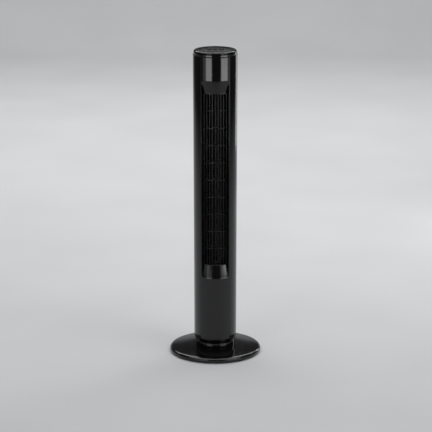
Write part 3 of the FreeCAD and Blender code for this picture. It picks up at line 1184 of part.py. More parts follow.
def make_cap():
    inner = f"({column_at(SHELL_TOP)} - panel_thickness - seam_gap / 4 - shell_wall - fit_gap)"
    ledge_low = f"({CONTROL_LOW} - 2.5)"
    cap = turned("top_cap", [
        (CAP_RADIUS, CAP_LOW), (CAP_RADIUS, "total_height - cap_bevel"),
        (f"{CAP_RADIUS} - cap_bevel * 0.35", "total_height - cap_bevel * 0.35"),
        (f"{CAP_RADIUS} - cap_bevel", "total_height"),
        (f"{CONTROL_RADIUS} + fit_gap", "total_height"), (f"{CONTROL_RADIUS} + fit_gap", CONTROL_LOW),
        (f"{CONTROL_RADIUS} - ledge_width", CONTROL_LOW), (f"{CONTROL_RADIUS} - ledge_width", ledge_low),
        (f"{inner} - 2.3", ledge_low), (f"{inner} - 2.3", f"{CAP_LOW} - cap_spigot"),
        (inner, f"{CAP_LOW} - cap_spigot"), (inner, CAP_LOW),
    ])
    keep(cap, "top_cap")

    pillar_places = [(f"{x} * (board_half_width - 5)", f"{y} * (board_half_depth - 5)")
                     for x in (-1, 1) for y in (-1, 1)]
    panel = new_body("control_panel")
    item = new_sketch(panel, "control_outline", "XY_Plane", CONTROL_LOW)
    circle(item, "0", "0", CONTROL_RADIUS)
    extrude(panel, "control_disc", item, "control_thickness")
    pillars(panel, "board_pillars", pillar_places, "pillar_radius", BOARD_TOP, "board_drop + 1")
    holes(panel, "button_holes", button_places(), "button_radius + running_gap", f"{CONTROL_LOW} - 1")
    holes(panel, "pillar_pilots", pillar_places, "small_screw_radius + thread_gap",
          f"{BOARD_TOP} - 1", "8")
    window = ("-lens_half_width", "lens_half_width", "lens_row - lens_height / 2",
              "lens_row + lens_height / 2")
    item = new_sketch(panel, "lens_hole_outline", "XY_Plane", f"{CONTROL_LOW} - 1")
    rounded(item, *window, "3")
    extrude(panel, "lens_hole", item, None, cut=True, back=True)
    keep(panel, "control_panel")

    lens = new_body("display_lens")
    item = new_sketch(lens, "lens_outline", "XY_Plane", CONTROL_LOW)
    left, right, low, high = window
    rounded(item, f"({left} + 0.1)", f"({right} - 0.1)", f"({low} + 0.1)", f"({high} - 0.1)", "2.9")
    extrude(lens, "lens_pad", item, "control_thickness")
    keep(lens, "display_lens")

    board = block("board_blank", "-board_half_width", "board_half_width", "-board_half_depth",
                  "board_half_depth", BOARD_LOW, BOARD_TOP)
    ways = []
    for n, (across, along) in enumerate(pillar_places, 1):
        way = primitive("Cylinder", f"board_hole_{n}", Radius="small_screw_radius + hole_gap",
                        Height="board_thickness + 2")
        ways.append(at(way, across, along, f"{BOARD_LOW} - 1"))
    keep(boolean("Cut", "control_board", board, group("board_holes", *ways)), "control_board")
    board_screw = screw("board_screw", "small_screw_radius", "board_thickness + 5",
                        "small_screw_head", "small_screw_head_height")
    copies("board_screws", board_screw, upright(pillar_places, BOARD_LOW))

    module = block("display_module", "-lens_half_width + 4", "lens_half_width - 4",
                   "lens_row - lens_height / 2 + 1", "lens_row + lens_height / 2 - 1",
                   BOARD_TOP, f"{CONTROL_LOW} - 0.2")
    keep(module, "display_module")

    plunger_top = f"({BOARD_TOP} + 5)"
    switches = []
    for n, (across, along) in enumerate(button_places(), 1):
        case = block(f"switch_case_{n}", f"{across} - 3", f"{across} + 3", f"{along} - 3",
                     f"{along} + 3", BOARD_TOP, f"{BOARD_TOP} + 3.5")
        plunger = primitive("Cylinder", f"switch_plunger_{n}", Radius="1.7", Height="2")
        at(plunger, across, along, f"{BOARD_TOP} + 3")
        switches.append(joined(f"switch_{n}", case, plunger))
    keep(group("tact_switches", *switches), "tact_switches")

    names = ("power_button", "speed_button", "swing_button", "timer_button")
    for name, (across, along) in zip(names, button_places()):
        flange_top = f"({CONTROL_LOW} - 0.25)"
        button = turned(name, [
            ("0", f"{plunger_top} + button_travel + 0.1"), ("2", f"{plunger_top} + button_travel + 0.1"),
            ("2", f"{flange_top} - button_flange"),
            ("button_radius + 1.3", f"{flange_top} - button_flange"),
            ("button_radius + 1.3", flange_top), ("button_radius", flange_top),
            ("button_radius", f"{CONTROL_TOP} + button_rise - 0.5"),
            ("button_radius - 0.5", f"{CONTROL_TOP} + button_rise"),
            ("0", f"{CONTROL_TOP} + button_rise - 0.4"),
        ])
        keep(at(button, across, along, "0"), name)


# ---------------------------------------------------------------- build, check, export
def check_document():
    """Stops on any failed object, any cut that removes nothing, and any bad sub-part shape."""
    for item in DOC.Objects:
        if {"Invalid", "Error"} & set(item.State):
            raise RuntimeError(f"{item.Label} failed: {item.State}")
        if item.TypeId in ("PartDesign::Pocket", "PartDesign::Groove"):
            if not item.Shape.Volume < item.BaseFeature.Shape.Volume - 0.01:
                raise RuntimeError(f"{item.Label} cuts nothing")
    for item in PARTS:
        shape = item.Shape
        if shape.isNull() or not shape.isValid() or not shape.Solids:
            raise RuntimeError(f"{item.Label} has no valid solid")


def export_parts():
    os.makedirs("parts", exist_ok=True)
    for item in PARTS:
        item.Shape.exportStep(f"parts/{item.Label}.step")
        print(f"{item.Label}: {len(item.Shape.Solids)} solids, {item.Shape.Volume / 1000:.2f} cm3")


neck_screw_places = make_base()
make_pedestal(neck_screw_places)
make_swing_drive()
make_column_foot()
make_front_shell()
make_front_panel()
make_front_grille()
make_rear_shell()
make_rear_grille()
make_duct()
make_impeller()
make_motor()
make_power_board()
make_harness()
make_cap()
DOC.recompute()
check_document()
export_parts()
print(len(PARTS), "sub-parts")
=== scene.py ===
# %% [markdown]
# A tower fan in gloss black plastic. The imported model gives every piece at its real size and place.
# This script keeps the pieces that already look right and gives them a finish. It makes the large
# polished mouldings again as fine surfaces, because gloss shows each flat facet of a coarse mesh.

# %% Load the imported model
import bmesh
import bpy
import json
import math
import numpy as np
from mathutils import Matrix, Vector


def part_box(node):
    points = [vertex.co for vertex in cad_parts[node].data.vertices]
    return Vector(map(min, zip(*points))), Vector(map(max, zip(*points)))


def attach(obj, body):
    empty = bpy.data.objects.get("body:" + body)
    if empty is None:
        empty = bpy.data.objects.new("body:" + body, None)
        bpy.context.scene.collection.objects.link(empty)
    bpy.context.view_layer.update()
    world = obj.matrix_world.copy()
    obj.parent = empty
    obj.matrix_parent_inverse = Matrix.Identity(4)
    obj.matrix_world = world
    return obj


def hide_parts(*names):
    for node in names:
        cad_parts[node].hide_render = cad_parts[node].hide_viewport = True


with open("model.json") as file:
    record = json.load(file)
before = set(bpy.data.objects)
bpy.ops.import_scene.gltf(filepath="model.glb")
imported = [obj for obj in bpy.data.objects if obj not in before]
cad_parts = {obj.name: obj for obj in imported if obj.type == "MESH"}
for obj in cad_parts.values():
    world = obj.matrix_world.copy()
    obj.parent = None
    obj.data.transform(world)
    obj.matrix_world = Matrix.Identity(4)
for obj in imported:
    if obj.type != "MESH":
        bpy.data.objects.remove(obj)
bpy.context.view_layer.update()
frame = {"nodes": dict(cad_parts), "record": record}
nodes = frame["nodes"]

# %% [markdown]
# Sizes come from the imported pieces, so the new surfaces fit them. A few details that no piece shows
# by itself, such as a wall or the radius of an edge, are named here. Everything is in metres.

# %% Sizes
MM = 0.001


def low(node):
    return np.array(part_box(node)[0])


def high(node):
    return np.array(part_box(node)[1])


BASE_RADIUS, BASE_LOW, BASE_TOP = high("base_shell")[0], low("base_shell")[2], high("base_shell")[2]
NECK_RADIUS, DECK_TOP = high("pedestal")[0], high("pedestal")[2]
SHELL_LOW, SHELL_TOP = low("front_shell")[2], high("front_shell")[2]
FOOT_RADIUS, COLUMN_RADIUS = high("column_foot")[0], high("front_shell")[0]
GRILLE_LOW, GRILLE_TOP = low("front_grille")[2], high("front_grille")[2]
GRILLE_FRONT = -low("front_grille")[1]
OUTLET = high("front_grille")[0] + 0.15 * MM
CAP_RADIUS, CAP_TOP = high("top_cap")[0], high("top_cap")[2]
CONTROL_RADIUS = high("control_panel")[0]
CONTROL_TOP = high("control_panel")[2]
GRIP_HALF = high("hand_grip")[0] - 2 * MM
GRIP_LOW, GRIP_TOP = low("hand_grip")[2] + 2 * MM, high("hand_grip")[2] - 2 * MM
GRIP_INNER = low("hand_grip")[1]
SEAM = 0.4 * MM
WALL = 2.5 * MM
SCOOP_HEIGHT = 42 * MM
RECESS_LOW, RECESS_TOP = GRILLE_LOW - SCOOP_HEIGHT, GRILLE_TOP + SCOOP_HEIGHT
PANEL_ANGLE = 42
INLET_ANGLE = 68
print(f"base {2000 * BASE_RADIUS:.0f} mm across, column {2000 * COLUMN_RADIUS:.0f} mm, height {CAP_TOP:.3f} m")

# %% [markdown]
# Colours are written as the hex values that a colour picker shows. A render works with light, so each
# one is turned to linear values first. One helper adds a shader node with its settings and links.

# %% Colour and node helpers


def linear(hex_colour):
    """Linear RGBA of an sRGB hex colour: each channel c becomes ((c + 0.055) / 1.055) ** 2.4, or c / 12.92."""
    channels = np.array([int(hex_colour[n:n + 2], 16) for n in (1, 3, 5)]) / 255
    light = np.where(channels > 0.04045, ((channels + 0.055) / 1.055) ** 2.4, channels / 12.92)
    return (*light, 1.0)


def add_node(tree, kind, inputs=(), **settings):
    """Adds a node. inputs maps a socket's name or number to a value or to another node's output."""
    node = tree.nodes.new("ShaderNode" + kind)
    for name, value in settings.items():
        setattr(node, name, value)
    for socket, value in dict(inputs).items():
        if isinstance(value, bpy.types.NodeSocket):
            tree.links.new(value, node.inputs[socket])
        else:
            node.inputs[socket].default_value = value
    return node


def new_finish(name):
    """A material with an empty node tree, its output node and object coordinates."""
    finish = bpy.data.materials.new(name)
    finish.use_nodes = True
    tree = finish.node_tree
    tree.nodes.clear()
    place = add_node(tree, "TexCoord").outputs["Object"]
    return finish, tree, place


def close(tree, shader):
    add_node(tree, "OutputMaterial", {"Surface": shader.outputs[0]})


def ramp(tree, source, stops):
    """Colour ramp between (position, grey or hex) stops."""
    node = add_node(tree, "ValToRGB", {"Fac": source})
    while len(node.color_ramp.elements) < len(stops):
        node.color_ramp.elements.new(1.0)
    for element, (position, colour) in zip(node.color_ramp.elements, stops):
        element.position = position
        element.color = linear(colour) if isinstance(colour, str) else (colour, colour, colour, 1)
    return node.outputs["Color"]


# %% [markdown]
# Moulded ABS and acrylic-modified plastic are dark right through, with a clear skin that reflects
# about a twentieth of the light face on and far more at a glance. A polished tool leaves a faint
# waviness, a few tenths of a millimetre apart in height and centimetres apart in width, and handling
# leaves a film that changes the roughness a little.

# %% Moulded plastics


def moulded(name, colour, worn_colour, roughness, grain_mm, grain_depth, wave_depth=0.0, ior=1.52):
    """Plastic whose roughness follows a soft smudge pattern, with a fine grain and a slow wave in its skin."""
    finish, tree, place = new_finish(name)
    smudge = add_node(tree, "TexNoise", {"Vector": place, "Scale": 1 / (60 * MM), "Detail": 4.0,
                                         "Roughness": 0.6})
    tint = ramp(tree, smudge.outputs["Fac"], [(0.35, colour), (0.75, worn_colour)])
    rough = ramp(tree, smudge.outputs["Fac"], [(0.3, roughness * 0.85), (0.8, roughness * 1.25)])
    grain = add_node(tree, "TexNoise", {"Vector": place, "Scale": 1 / (grain_mm * MM), "Detail": 2.0})
    wave = add_node(tree, "TexNoise", {"Vector": place, "Scale": 1 / (45 * MM), "Detail": 0.0})
    swell = add_node(tree, "Bump", {"Height": wave.outputs["Fac"], "Distance": wave_depth * MM,
                                    "Strength": 1.0 if wave_depth else 0.0})
    skin = add_node(tree, "Bump", {"Height": grain.outputs["Fac"], "Distance": grain_depth * MM,
                                   "Strength": 1.0, "Normal": swell.outputs["Normal"]})
    close(tree, add_node(tree, "BsdfPrincipled", {
        "Base Color": tint, "Roughness": rough, "IOR": ior, "Normal": skin.outputs["Normal"]}))
    return finish


gloss_abs = moulded("polished_black_abs", "#0a0a0b", "#0d0d0f", 0.13, 3.0, 0.002, 0.05)
satin_abs = moulded("satin_black_abs", "#0d0d0e", "#111113", 0.24, 0.9, 0.02)
textured_abs = moulded("textured_black_abs", "#141415", "#1a1a1c", 0.55, 0.5, 0.06)
inner_abs = moulded("black_inner_moulding", "#0c0c0d", "#121213", 0.5, 1.2, 0.03)
blade_plastic = moulded("black_blade_plastic", "#0b0b0c", "#111112", 0.42, 1.0, 0.02)
acetal = moulded("natural_acetal", "#d8d5cc", "#e2dfd6", 0.38, 0.8, 0.01)
smoked_acrylic = moulded("smoked_acrylic", "#060607", "#08080a", 0.05, 5.0, 0.0005, 0.02, 1.49)
reflector = moulded("white_display_reflector", "#c9c8c3", "#d2d1cc", 0.6, 0.8, 0.01)
print("moulded plastics:", 8)

# %% [markdown]
# Rubber scatters most of its light and has a dusty bloom in patches. Epoxy board is green under a
# solder mask, with copper tracks that show as lighter lines.

# %% Rubber and circuit board


def moulded_rubber(name, colour, bloom):
    """Rubber with a dusty bloom on the parts that stand out."""
    finish, tree, place = new_finish(name)
    dust = add_node(tree, "TexNoise", {"Vector": place, "Scale": 1 / (9 * MM), "Detail": 5.0})
    tint = ramp(tree, dust.outputs["Fac"], [(0.4, colour), (0.72, bloom)])
    pores = add_node(tree, "TexNoise", {"Vector": place, "Scale": 1 / (0.6 * MM), "Detail": 3.0})
    skin = add_node(tree, "Bump", {"Height": pores.outputs["Fac"], "Distance": 0.05 * MM})
    close(tree, add_node(tree, "BsdfPrincipled", {
        "Base Color": tint, "Roughness": 0.82, "IOR": 1.5, "Normal": skin.outputs["Normal"]}))
    return finish


def epoxy_board(name):
    """Solder mask over copper tracks about 1.5 mm apart."""
    finish, tree, place = new_finish(name)
    tracks = add_node(tree, "TexBrick", {"Vector": place, "Scale": 1 / (6 * MM), "Mortar Size": 0.12,
                                         "Color1": linear("#12552a"), "Color2": linear("#166432"),
                                         "Mortar": linear("#2c8a4a")})
    close(tree, add_node(tree, "BsdfPrincipled", {
        "Base Color": tracks.outputs["Color"], "Roughness": 0.3, "IOR": 1.5}))
    return finish


soft_rubber = moulded_rubber("moulded_rubber", "#17171a", "#26262a")
damping_rubber = moulded_rubber("grey_damping_rubber", "#3a3a3d", "#4c4c50")
cable_sheath = moulded_rubber("pvc_sheath", "#151517", "#1f1f22")
board_green = epoxy_board("glass_epoxy_board")
print("soft and board finishes:", 4)

# %% [markdown]
# Metals reflect in their own colour. A drawn or ground surface has fine lines, so its roughness
# changes along them, and plating leaves soft spangles a few millimetres across.

# %% Metals


def worked_metal(name, colour, shade, roughness, line_mm, stretch):
    """Metal with fine lines: noise that is squeezed along one axis changes its roughness and shade."""
    finish, tree, place = new_finish(name)
    drawn = add_node(tree, "Mapping", {"Vector": place, "Scale": stretch})
    lines = add_node(tree, "TexNoise", {"Vector": drawn.outputs["Vector"], "Scale": 1 / (line_mm * MM),
                                        "Detail": 4.0})
    tint = ramp(tree, lines.outputs["Fac"], [(0.3, shade), (0.7, colour)])
    rough = ramp(tree, lines.outputs["Fac"], [(0.3, roughness * 1.3), (0.7, roughness * 0.8)])
    close(tree, add_node(tree, "BsdfPrincipled", {
        "Base Color": tint, "Roughness": rough, "Metallic": 1.0}))
    return finish


zinc = worked_metal("zinc_plated_steel", "#c6c8ca", "#a2a5a8", 0.34, 4.0, (1, 1, 1))
ground_steel = worked_metal("ground_steel", "#cfd0d1", "#b4b6b8", 0.2, 1.0, (0.1, 0.1, 1))
ball_steel = worked_metal("polished_bearing_steel", "#d8d9da", "#cdced0", 0.08, 3.0, (1, 1, 1))
lamination = worked_metal("stacked_laminations", "#8a8d91", "#5d6064", 0.45, 1.0, (0.05, 0.05, 2))
bronze = worked_metal("sintered_bronze", "#b48a55", "#8f6a3c", 0.48, 0.8, (1, 1, 1))
copper = worked_metal("enamelled_copper_wire", "#b5622f", "#7f3d1a", 0.3, 0.8, (1, 1, 0.2))
rotor_metal = worked_metal("cast_aluminium", "#b3b5b8", "#96989b", 0.4, 1.5, (1, 1, 1))
print("metals:", 7)

# %% [markdown]
# Every carried-over piece takes the finish of its material slot. The mouldings that are made again
# below replace theirs.

# %% Finish for each slot
FINISHES = {
    "gloss_black": gloss_abs, "satin_black": satin_abs, "matte_black": textured_abs,
    "inner_black": inner_abs, "impeller_black": blade_plastic, "white_plastic": acetal,
    "rubber_black": soft_rubber, "rubber_grey": damping_rubber, "zinc_steel": zinc,
    "bright_steel": ball_steel, "shaft_steel": ground_steel, "lamination": lamination,
    "bronze": bronze, "copper": copper, "rotor_metal": rotor_metal, "circuit_board": board_green,
    "smoked_lens": smoked_acrylic, "display_white": reflector, "cable_black": cable_sheath,
}
SLOT_OF = {part["node"]: part["material_slot"] for part in frame["record"]["subparts"]}
for name, node in nodes.items():
    node.data.materials.clear()
    node.data.materials.append(FINISHES[SLOT_OF[name]])
print("finished", len(nodes), "carried-over pieces")

# %% [markdown]
# New pieces are grids of points worked out as whole arrays. A grid can close on itself in either
# direction: a ring closes round the axis, and a moulding's section closes round its wall.

# %% Mesh helpers


def grid_faces(rows, columns, close_rows=False, close_columns=False):
    """Quads between neighbours of a rows by columns grid, wrapping round where a direction is closed."""
    row = np.arange(rows if close_rows else rows - 1)
    column = np.arange(columns if close_columns else columns - 1)
    i, j = (index.ravel() for index in np.meshgrid(row, column, indexing="ij"))
    after_i, after_j = (i + 1) % rows, (j + 1) % columns
    corners = [i * columns + j, i * columns + after_j, after_i * columns + after_j, after_i * columns + j]
    return np.stack(corners, axis=1)


def make_piece(name, points, faces, finish, body, slot, sharp=32, bevel=0.0):
    """A mesh object from points and faces, with doubles merged, its normals outward and sharp edges kept."""
    mesh = bpy.data.meshes.new(name)
    mesh.from_pydata(np.asarray(points).reshape(-1, 3).tolist(), [], [list(map(int, f)) for f in faces])
    work = bmesh.new()
    work.from_mesh(mesh)
    bmesh.ops.remove_doubles(work, verts=work.verts, dist=1e-6)
    bmesh.ops.dissolve_degenerate(work, edges=work.edges, dist=1e-7)
    bmesh.ops.recalc_face_normals(work, faces=work.faces)
    work.to_mesh(mesh)
    work.free()
    mesh.shade_smooth()
    mesh.set_sharp_from_angle(angle=math.radians(sharp))
    mesh.materials.append(finish)
    piece = bpy.data.objects.new(name, mesh)
    bpy.context.scene.collection.objects.link(piece)
    if bevel:
        rounding = piece.modifiers.new("edge", "BEVEL")
        rounding.width = bevel
        rounding.segments = 2
        rounding.limit_method = "ANGLE"
        rounding.angle_limit = math.radians(40)
    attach(piece, body)
    return piece


def rounded_outline(corners, steps=6):
    """Closed outline through (across, up, radius) corners. Each corner is the circular arc that touches both
    of its sides, written as the rational quadratic ((1-t)^2 A + 2 w t(1-t) B + t^2 C) / (sum of weights)."""
    data = np.array(corners, float)
    here, radius = data[:, :2], data[:, 2:]
    before, after = np.roll(here, 1, 0) - here, np.roll(here, -1, 0) - here
    before /= np.linalg.norm(before, axis=1, keepdims=True)
    after /= np.linalg.norm(after, axis=1, keepdims=True)
    half = np.arccos(np.clip((before * after).sum(1, keepdims=True), -1, 1)) / 2
    reach = radius / np.tan(half)
    start, end = (here + before * reach)[:, None], (here + after * reach)[:, None]
    t = np.linspace(0, 1, steps)[None, :, None]
    first, middle, last = (1 - t) ** 2, 2 * np.sin(half)[:, None] * t * (1 - t), t ** 2
    arcs = (first * start + middle * here[:, None] + last * end) / (first + middle + last)
    return arcs.reshape(-1, 2)


def swept(outline, start=-180.0, end=180.0, steps=192):
    """A (radius, height) outline turned about the upright axis, from one angle to another. Angle 0 is the
    front, -Y: x = r sin a, y = -r cos a. A part turn gets a flat cap at each end."""
    full = abs(end - start) >= 360
    angle = np.radians(np.linspace(start, end, steps, endpoint=not full))[:, None]
    radius, height = outline[:, 0][None], outline[:, 1][None]
    points = np.stack([radius * np.sin(angle), -radius * np.cos(angle), height + 0 * angle], axis=2)
    count = len(outline)
    faces = [tuple(face) for face in grid_faces(steps, count, full, True)]
    if not full:
        faces += [tuple(range(count)), tuple(range((steps - 1) * count, steps * count))[::-1]]
    return points.reshape(-1, 3), faces


def upright(outline, low_z, high_z):
    """A closed (x, y) outline carried straight up, with a flat cap at each end."""
    count = len(outline)
    levels = np.array([low_z, high_z])
    points = np.concatenate([np.c_[outline, np.full(count, z)] for z in levels])
    faces = [tuple(face) for face in grid_faces(2, count, False, True)]
    return points, faces + [tuple(range(count)), tuple(range(count, 2 * count))[::-1]]


def joined(*parts):
    """Several (points, faces) pairs as one, with each part's face numbers moved past the points before it."""
    starts = np.cumsum([0] + [len(points) for points, _ in parts])
    faces = [tuple(int(v) + int(s) for v in face) for s, (_, fs) in zip(starts, parts) for face in fs]
    return np.concatenate([points for points, _ in parts]), faces


print("helpers ready")

# %% [markdown]
# The round base is one moulding with a crowned top: nearly flat beside the neck and steeper towards
# the rim. The crown matters, because it decides what each part of the polished top reflects.

# %% Base


def crown(radius):
    """Height of the base's top: it falls from the flat land by the 1.7th power of the way to the rim."""
    land, edge = NECK_RADIUS + 2 * MM, BASE_RADIUS - 5 * MM
    way = np.clip((radius - land) / (edge - land), 0, 1)
    return BASE_TOP - 6.0 * MM * way ** 1.7


crown_radii = np.linspace(BASE_RADIUS - 8.5 * MM, NECK_RADIUS - 2 * MM, 26)
base_outline = rounded_outline(
    [(BASE_RADIUS - 1.2 * MM, BASE_LOW, 0.6 * MM), (BASE_RADIUS, BASE_LOW + 3 * MM, 3 * MM),
     (BASE_RADIUS, BASE_LOW + 9.3 * MM, 5 * MM), (BASE_RADIUS - 5 * MM, BASE_LOW + 13.6 * MM, 6 * MM)]
    + [(radius, crown(radius), 0) for radius in crown_radii]
    + [(NECK_RADIUS - 20 * MM, BASE_TOP, 0.6 * MM), (NECK_RADIUS - 20 * MM, BASE_TOP - WALL, 0.6 * MM),
       (NECK_RADIUS + 2 * MM, BASE_TOP - WALL, 1 * MM),
       (BASE_RADIUS - 6 * MM, BASE_LOW + 11.2 * MM, 3 * MM),
       (BASE_RADIUS - WALL, BASE_LOW + 8 * MM, 2 * MM), (BASE_RADIUS - WALL, BASE_LOW, 0.4 * MM)])
base = make_piece("base_moulding", *swept(base_outline, steps=256), gloss_abs, "base", "gloss_black")
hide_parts("base_shell")
print("base:", len(base.data.polygons), "faces")

# %% [markdown]
# The neck stands on the base and the column's flared foot turns on it. Both are turned shapes with
# small rounded edges, so each edge catches a thin line of light, as a moulded edge does.

# %% Neck and foot
neck_outline = rounded_outline([
    (NECK_RADIUS, BASE_TOP, 0.3 * MM), (NECK_RADIUS, DECK_TOP, 1.2 * MM),
    (low("ring_gear")[0] * -1 - 12 * MM, DECK_TOP, 0.2 * MM),
    (low("ring_gear")[0] * -1 - 12 * MM, DECK_TOP - 3.5 * MM, 0.2 * MM),
    (NECK_RADIUS - 3 * MM, DECK_TOP - 3.5 * MM, 1 * MM), (NECK_RADIUS - 3 * MM, BASE_TOP, 0.3 * MM)])
neck = make_piece("neck_moulding", *swept(neck_outline), gloss_abs, "base", "gloss_black")
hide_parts("pedestal")

FOOT_LOW, SEAM_HEIGHT = low("column_foot")[2], SHELL_LOW - SEAM
foot_outline = rounded_outline([
    (NECK_RADIUS + 0.6 * MM, FOOT_LOW, 0.7 * MM), (FOOT_RADIUS, SEAM_HEIGHT - 1.6 * MM, 2.2 * MM),
    (FOOT_RADIUS, SEAM_HEIGHT, 0.5 * MM), (FOOT_RADIUS - 5 * MM, SEAM_HEIGHT, 0.3 * MM),
    (FOOT_RADIUS - 5 * MM, high("column_foot")[2], 0.6 * MM),
    (FOOT_RADIUS - 7.5 * MM, high("column_foot")[2], 0.6 * MM),
    (FOOT_RADIUS - 7.5 * MM, SEAM_HEIGHT - 3 * MM, 1 * MM), (22 * MM, SEAM_HEIGHT - 3 * MM, 1 * MM),
    (22 * MM, SEAM_HEIGHT - 6 * MM, 0.5 * MM), (FOOT_RADIUS - 9 * MM, SEAM_HEIGHT - 6 * MM, 1 * MM),
    (NECK_RADIUS - 1.9 * MM, FOOT_LOW, 0.3 * MM)])
foot = make_piece("foot_moulding", *swept(foot_outline), gloss_abs, "column", "gloss_black")
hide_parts("column_foot")
print("neck and foot made")

# %% [markdown]
# The column tapers a little towards its foot. Its front is a shell at each side with a polished panel
# let in between them, and the joint between the two shows as a thin dark line.

# %% Tapered column


def column_radius(height):
    """Radius at a height: a straight taper from the foot's radius to the column's."""
    rise = (height - SEAM_HEIGHT) / (SHELL_TOP - SEAM_HEIGHT)
    return FOOT_RADIUS + (COLUMN_RADIUS - FOOT_RADIUS) * rise


def on_column(degrees, height, depth=0.0):
    """Point at an angle from the front and a height, some depth under the column's surface."""
    angle, radius = np.radians(degrees), column_radius(height) - depth
    return np.stack(np.broadcast_arrays(radius * np.sin(angle), -radius * np.cos(angle), height), axis=-1)


def wall_outline(outer, inner, edge):
    """Section of a tapered wall between two depths, from the bottom of the shells to their top."""
    ends = [(outer, SHELL_LOW), (outer, SHELL_TOP), (inner, SHELL_TOP), (inner, SHELL_LOW)]
    return rounded_outline([(column_radius(z) - depth, z, edge) for depth, z in ends], steps=4)


seam_angle = math.degrees(SEAM / COLUMN_RADIUS)
side_span = (PANEL_ANGLE + seam_angle, 90 - seam_angle / 2)
backing_span = (PANEL_ANGLE - 3, PANEL_ANGLE + 3.5)
wall, backing = wall_outline(0, WALL, 0.5 * MM), wall_outline(2.3 * MM, 4.8 * MM, 0.2 * MM)
sides = joined(swept(wall, *side_span, steps=48), swept(wall, -side_span[1], -side_span[0], steps=48),
               swept(backing, *backing_span, steps=8), swept(backing, -backing_span[1], -backing_span[0], 8))
front_sides = make_piece("front_shell_sides", *sides, gloss_abs, "column", "gloss_black", bevel=0.35 * MM)
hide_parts("front_shell")
print(f"side shells from {side_span[0]:.1f} to {side_span[1]:.1f} degrees")

# %% [markdown]
# The front panel has a tall sunken window. Its section is the same idea all the way round: the
# polished face, a rounded lip, a wall that slopes in to the grille, and back behind the face. So the
# panel is one grid: one way goes round the window, and the other goes round the section.

# %% Front panel


def window_loop(half, bottom, top, corner, flat=56, tall=150, arc=14):
    """Rounded rectangle, anticlockwise from its lower right corner, and the outward direction at each point.
    Every side and corner has a set number of points, so two windows of other sizes match point for point."""
    centres = np.array([(half - corner, bottom + corner), (half - corner, top - corner),
                        (corner - half, top - corner), (corner - half, bottom + corner)])
    points, outward = [], []
    for n, count in enumerate((tall, flat, tall, flat)):
        turn = np.radians(np.linspace(90 * n - 90, 90 * n, arc))
        way = np.stack([np.cos(turn), np.sin(turn)], axis=1)
        bend = centres[n] + corner * way
        next_start = centres[(n + 1) % 4] + corner * way[-1]
        side = np.linspace(bend[-1], next_start, count + 2)[1:-1]
        points += [bend, side]
        outward += [way, np.repeat(way[-1:], count, axis=0)]
    return np.concatenate(points), np.concatenate(outward)


def bend_through(start, corner, end, steps=7):
    """Rounds a corner with the quadratic curve (1-t)^2 start + 2t(1-t) corner + t^2 end, for all points at once."""
    t = np.linspace(0, 1, steps)[None, :, None]
    return (1 - t) ** 2 * start[:, None] + 2 * t * (1 - t) * corner[:, None] + t ** 2 * end[:, None]


def panel_section():
    """Rows of points round the panel's wall, for each point round its window."""
    lip, edge, thick = 1.1 * MM, 0.45 * MM, 2.2 * MM
    rim, outward = window_loop(OUTLET, RECESS_LOW, RECESS_TOP, 8 * MM)
    rim_angle = np.degrees(np.arcsin(rim[:, 0] / column_radius(rim[:, 1])))
    border, _ = window_loop(PANEL_ANGLE, SHELL_LOW, SHELL_TOP, 0.0)
    inner, _ = window_loop(OUTLET, GRILLE_LOW, GRILLE_TOP, 3 * MM)

    border_point = on_column(border[:, 0], border[:, 1])
    rim_point = on_column(rim_angle, rim[:, 1])
    inner_point = np.c_[inner[:, 0], -np.sqrt(GRILLE_FRONT ** 2 - inner[:, 0] ** 2), inner[:, 1]]
    span = np.linalg.norm(border_point - rim_point, axis=1, keepdims=True)
    way = np.linspace(0, 1, 26)[None] * (1 - (edge + lip) / span) + edge / span
    face = on_column(border[:, :1] + (rim_angle[:, None] - border[:, :1]) * way,
                     border[:, 1:] + (rim[:, 1:] - border[:, 1:]) * way)
    down = inner_point - rim_point
    down /= np.linalg.norm(down, axis=1, keepdims=True)
    lip_end = rim_point + down * lip
    edge_start = on_column(border[:, 0], border[:, 1], edge)
    slope = lip_end[:, None] + (inner_point - lip_end)[:, None] * np.linspace(0, 1, 12)[None, 1:, None]
    away = np.c_[outward[:, 0], np.zeros(len(outward)), outward[:, 1]] * 2 * MM
    behind_rim = on_column(rim_angle + outward[:, 0] * 1.6, rim[:, 1] + outward[:, 1] * 2 * MM, thick)
    behind_border = on_column(border[:, 0], border[:, 1], thick)
    back = [inner_point + away, behind_rim, behind_border]
    return np.concatenate([bend_through(edge_start, border_point, face[:, 0]), face[:, 1:-1],
                           bend_through(face[:, -1], rim_point, lip_end), slope]
                          + [row[:, None] for row in back], axis=1)


panel_points = panel_section()
panel_faces = grid_faces(*panel_points.shape[:2], True, True)
panel = make_piece("front_panel_skin", panel_points, panel_faces, gloss_abs, "column", "gloss_black",
                   sharp=50)
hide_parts("front_panel")
print("front panel:", len(panel.data.polygons), "faces")

# %% [markdown]
# The grille has upright bars with rounded noses and cross ribs set back behind them. A bar is a
# rounded outline carried straight up. A rib is a rounded outline turned through the width.

# %% Front grille
BAR, GRILLE_DEPTH, RIB_SETBACK, BAR_COUNT, CELLS = 1.6 * MM, 10 * MM, 4 * MM, 9, 10
grille_back = GRILLE_FRONT - GRILLE_DEPTH


def bar_outline(centre, width):
    """Plan of one bar: flat sides, a full round nose on the grille's front arc and square at the back."""
    front = -math.sqrt(GRILLE_FRONT ** 2 - centre ** 2)
    rear = -math.sqrt(grille_back ** 2 - centre ** 2)
    left, right = centre - width / 2, centre + width / 2
    return rounded_outline([(left, front, 0.48 * width), (right, front, 0.48 * width),
                            (right, rear, 0.1 * width), (left, rear, 0.1 * width)])


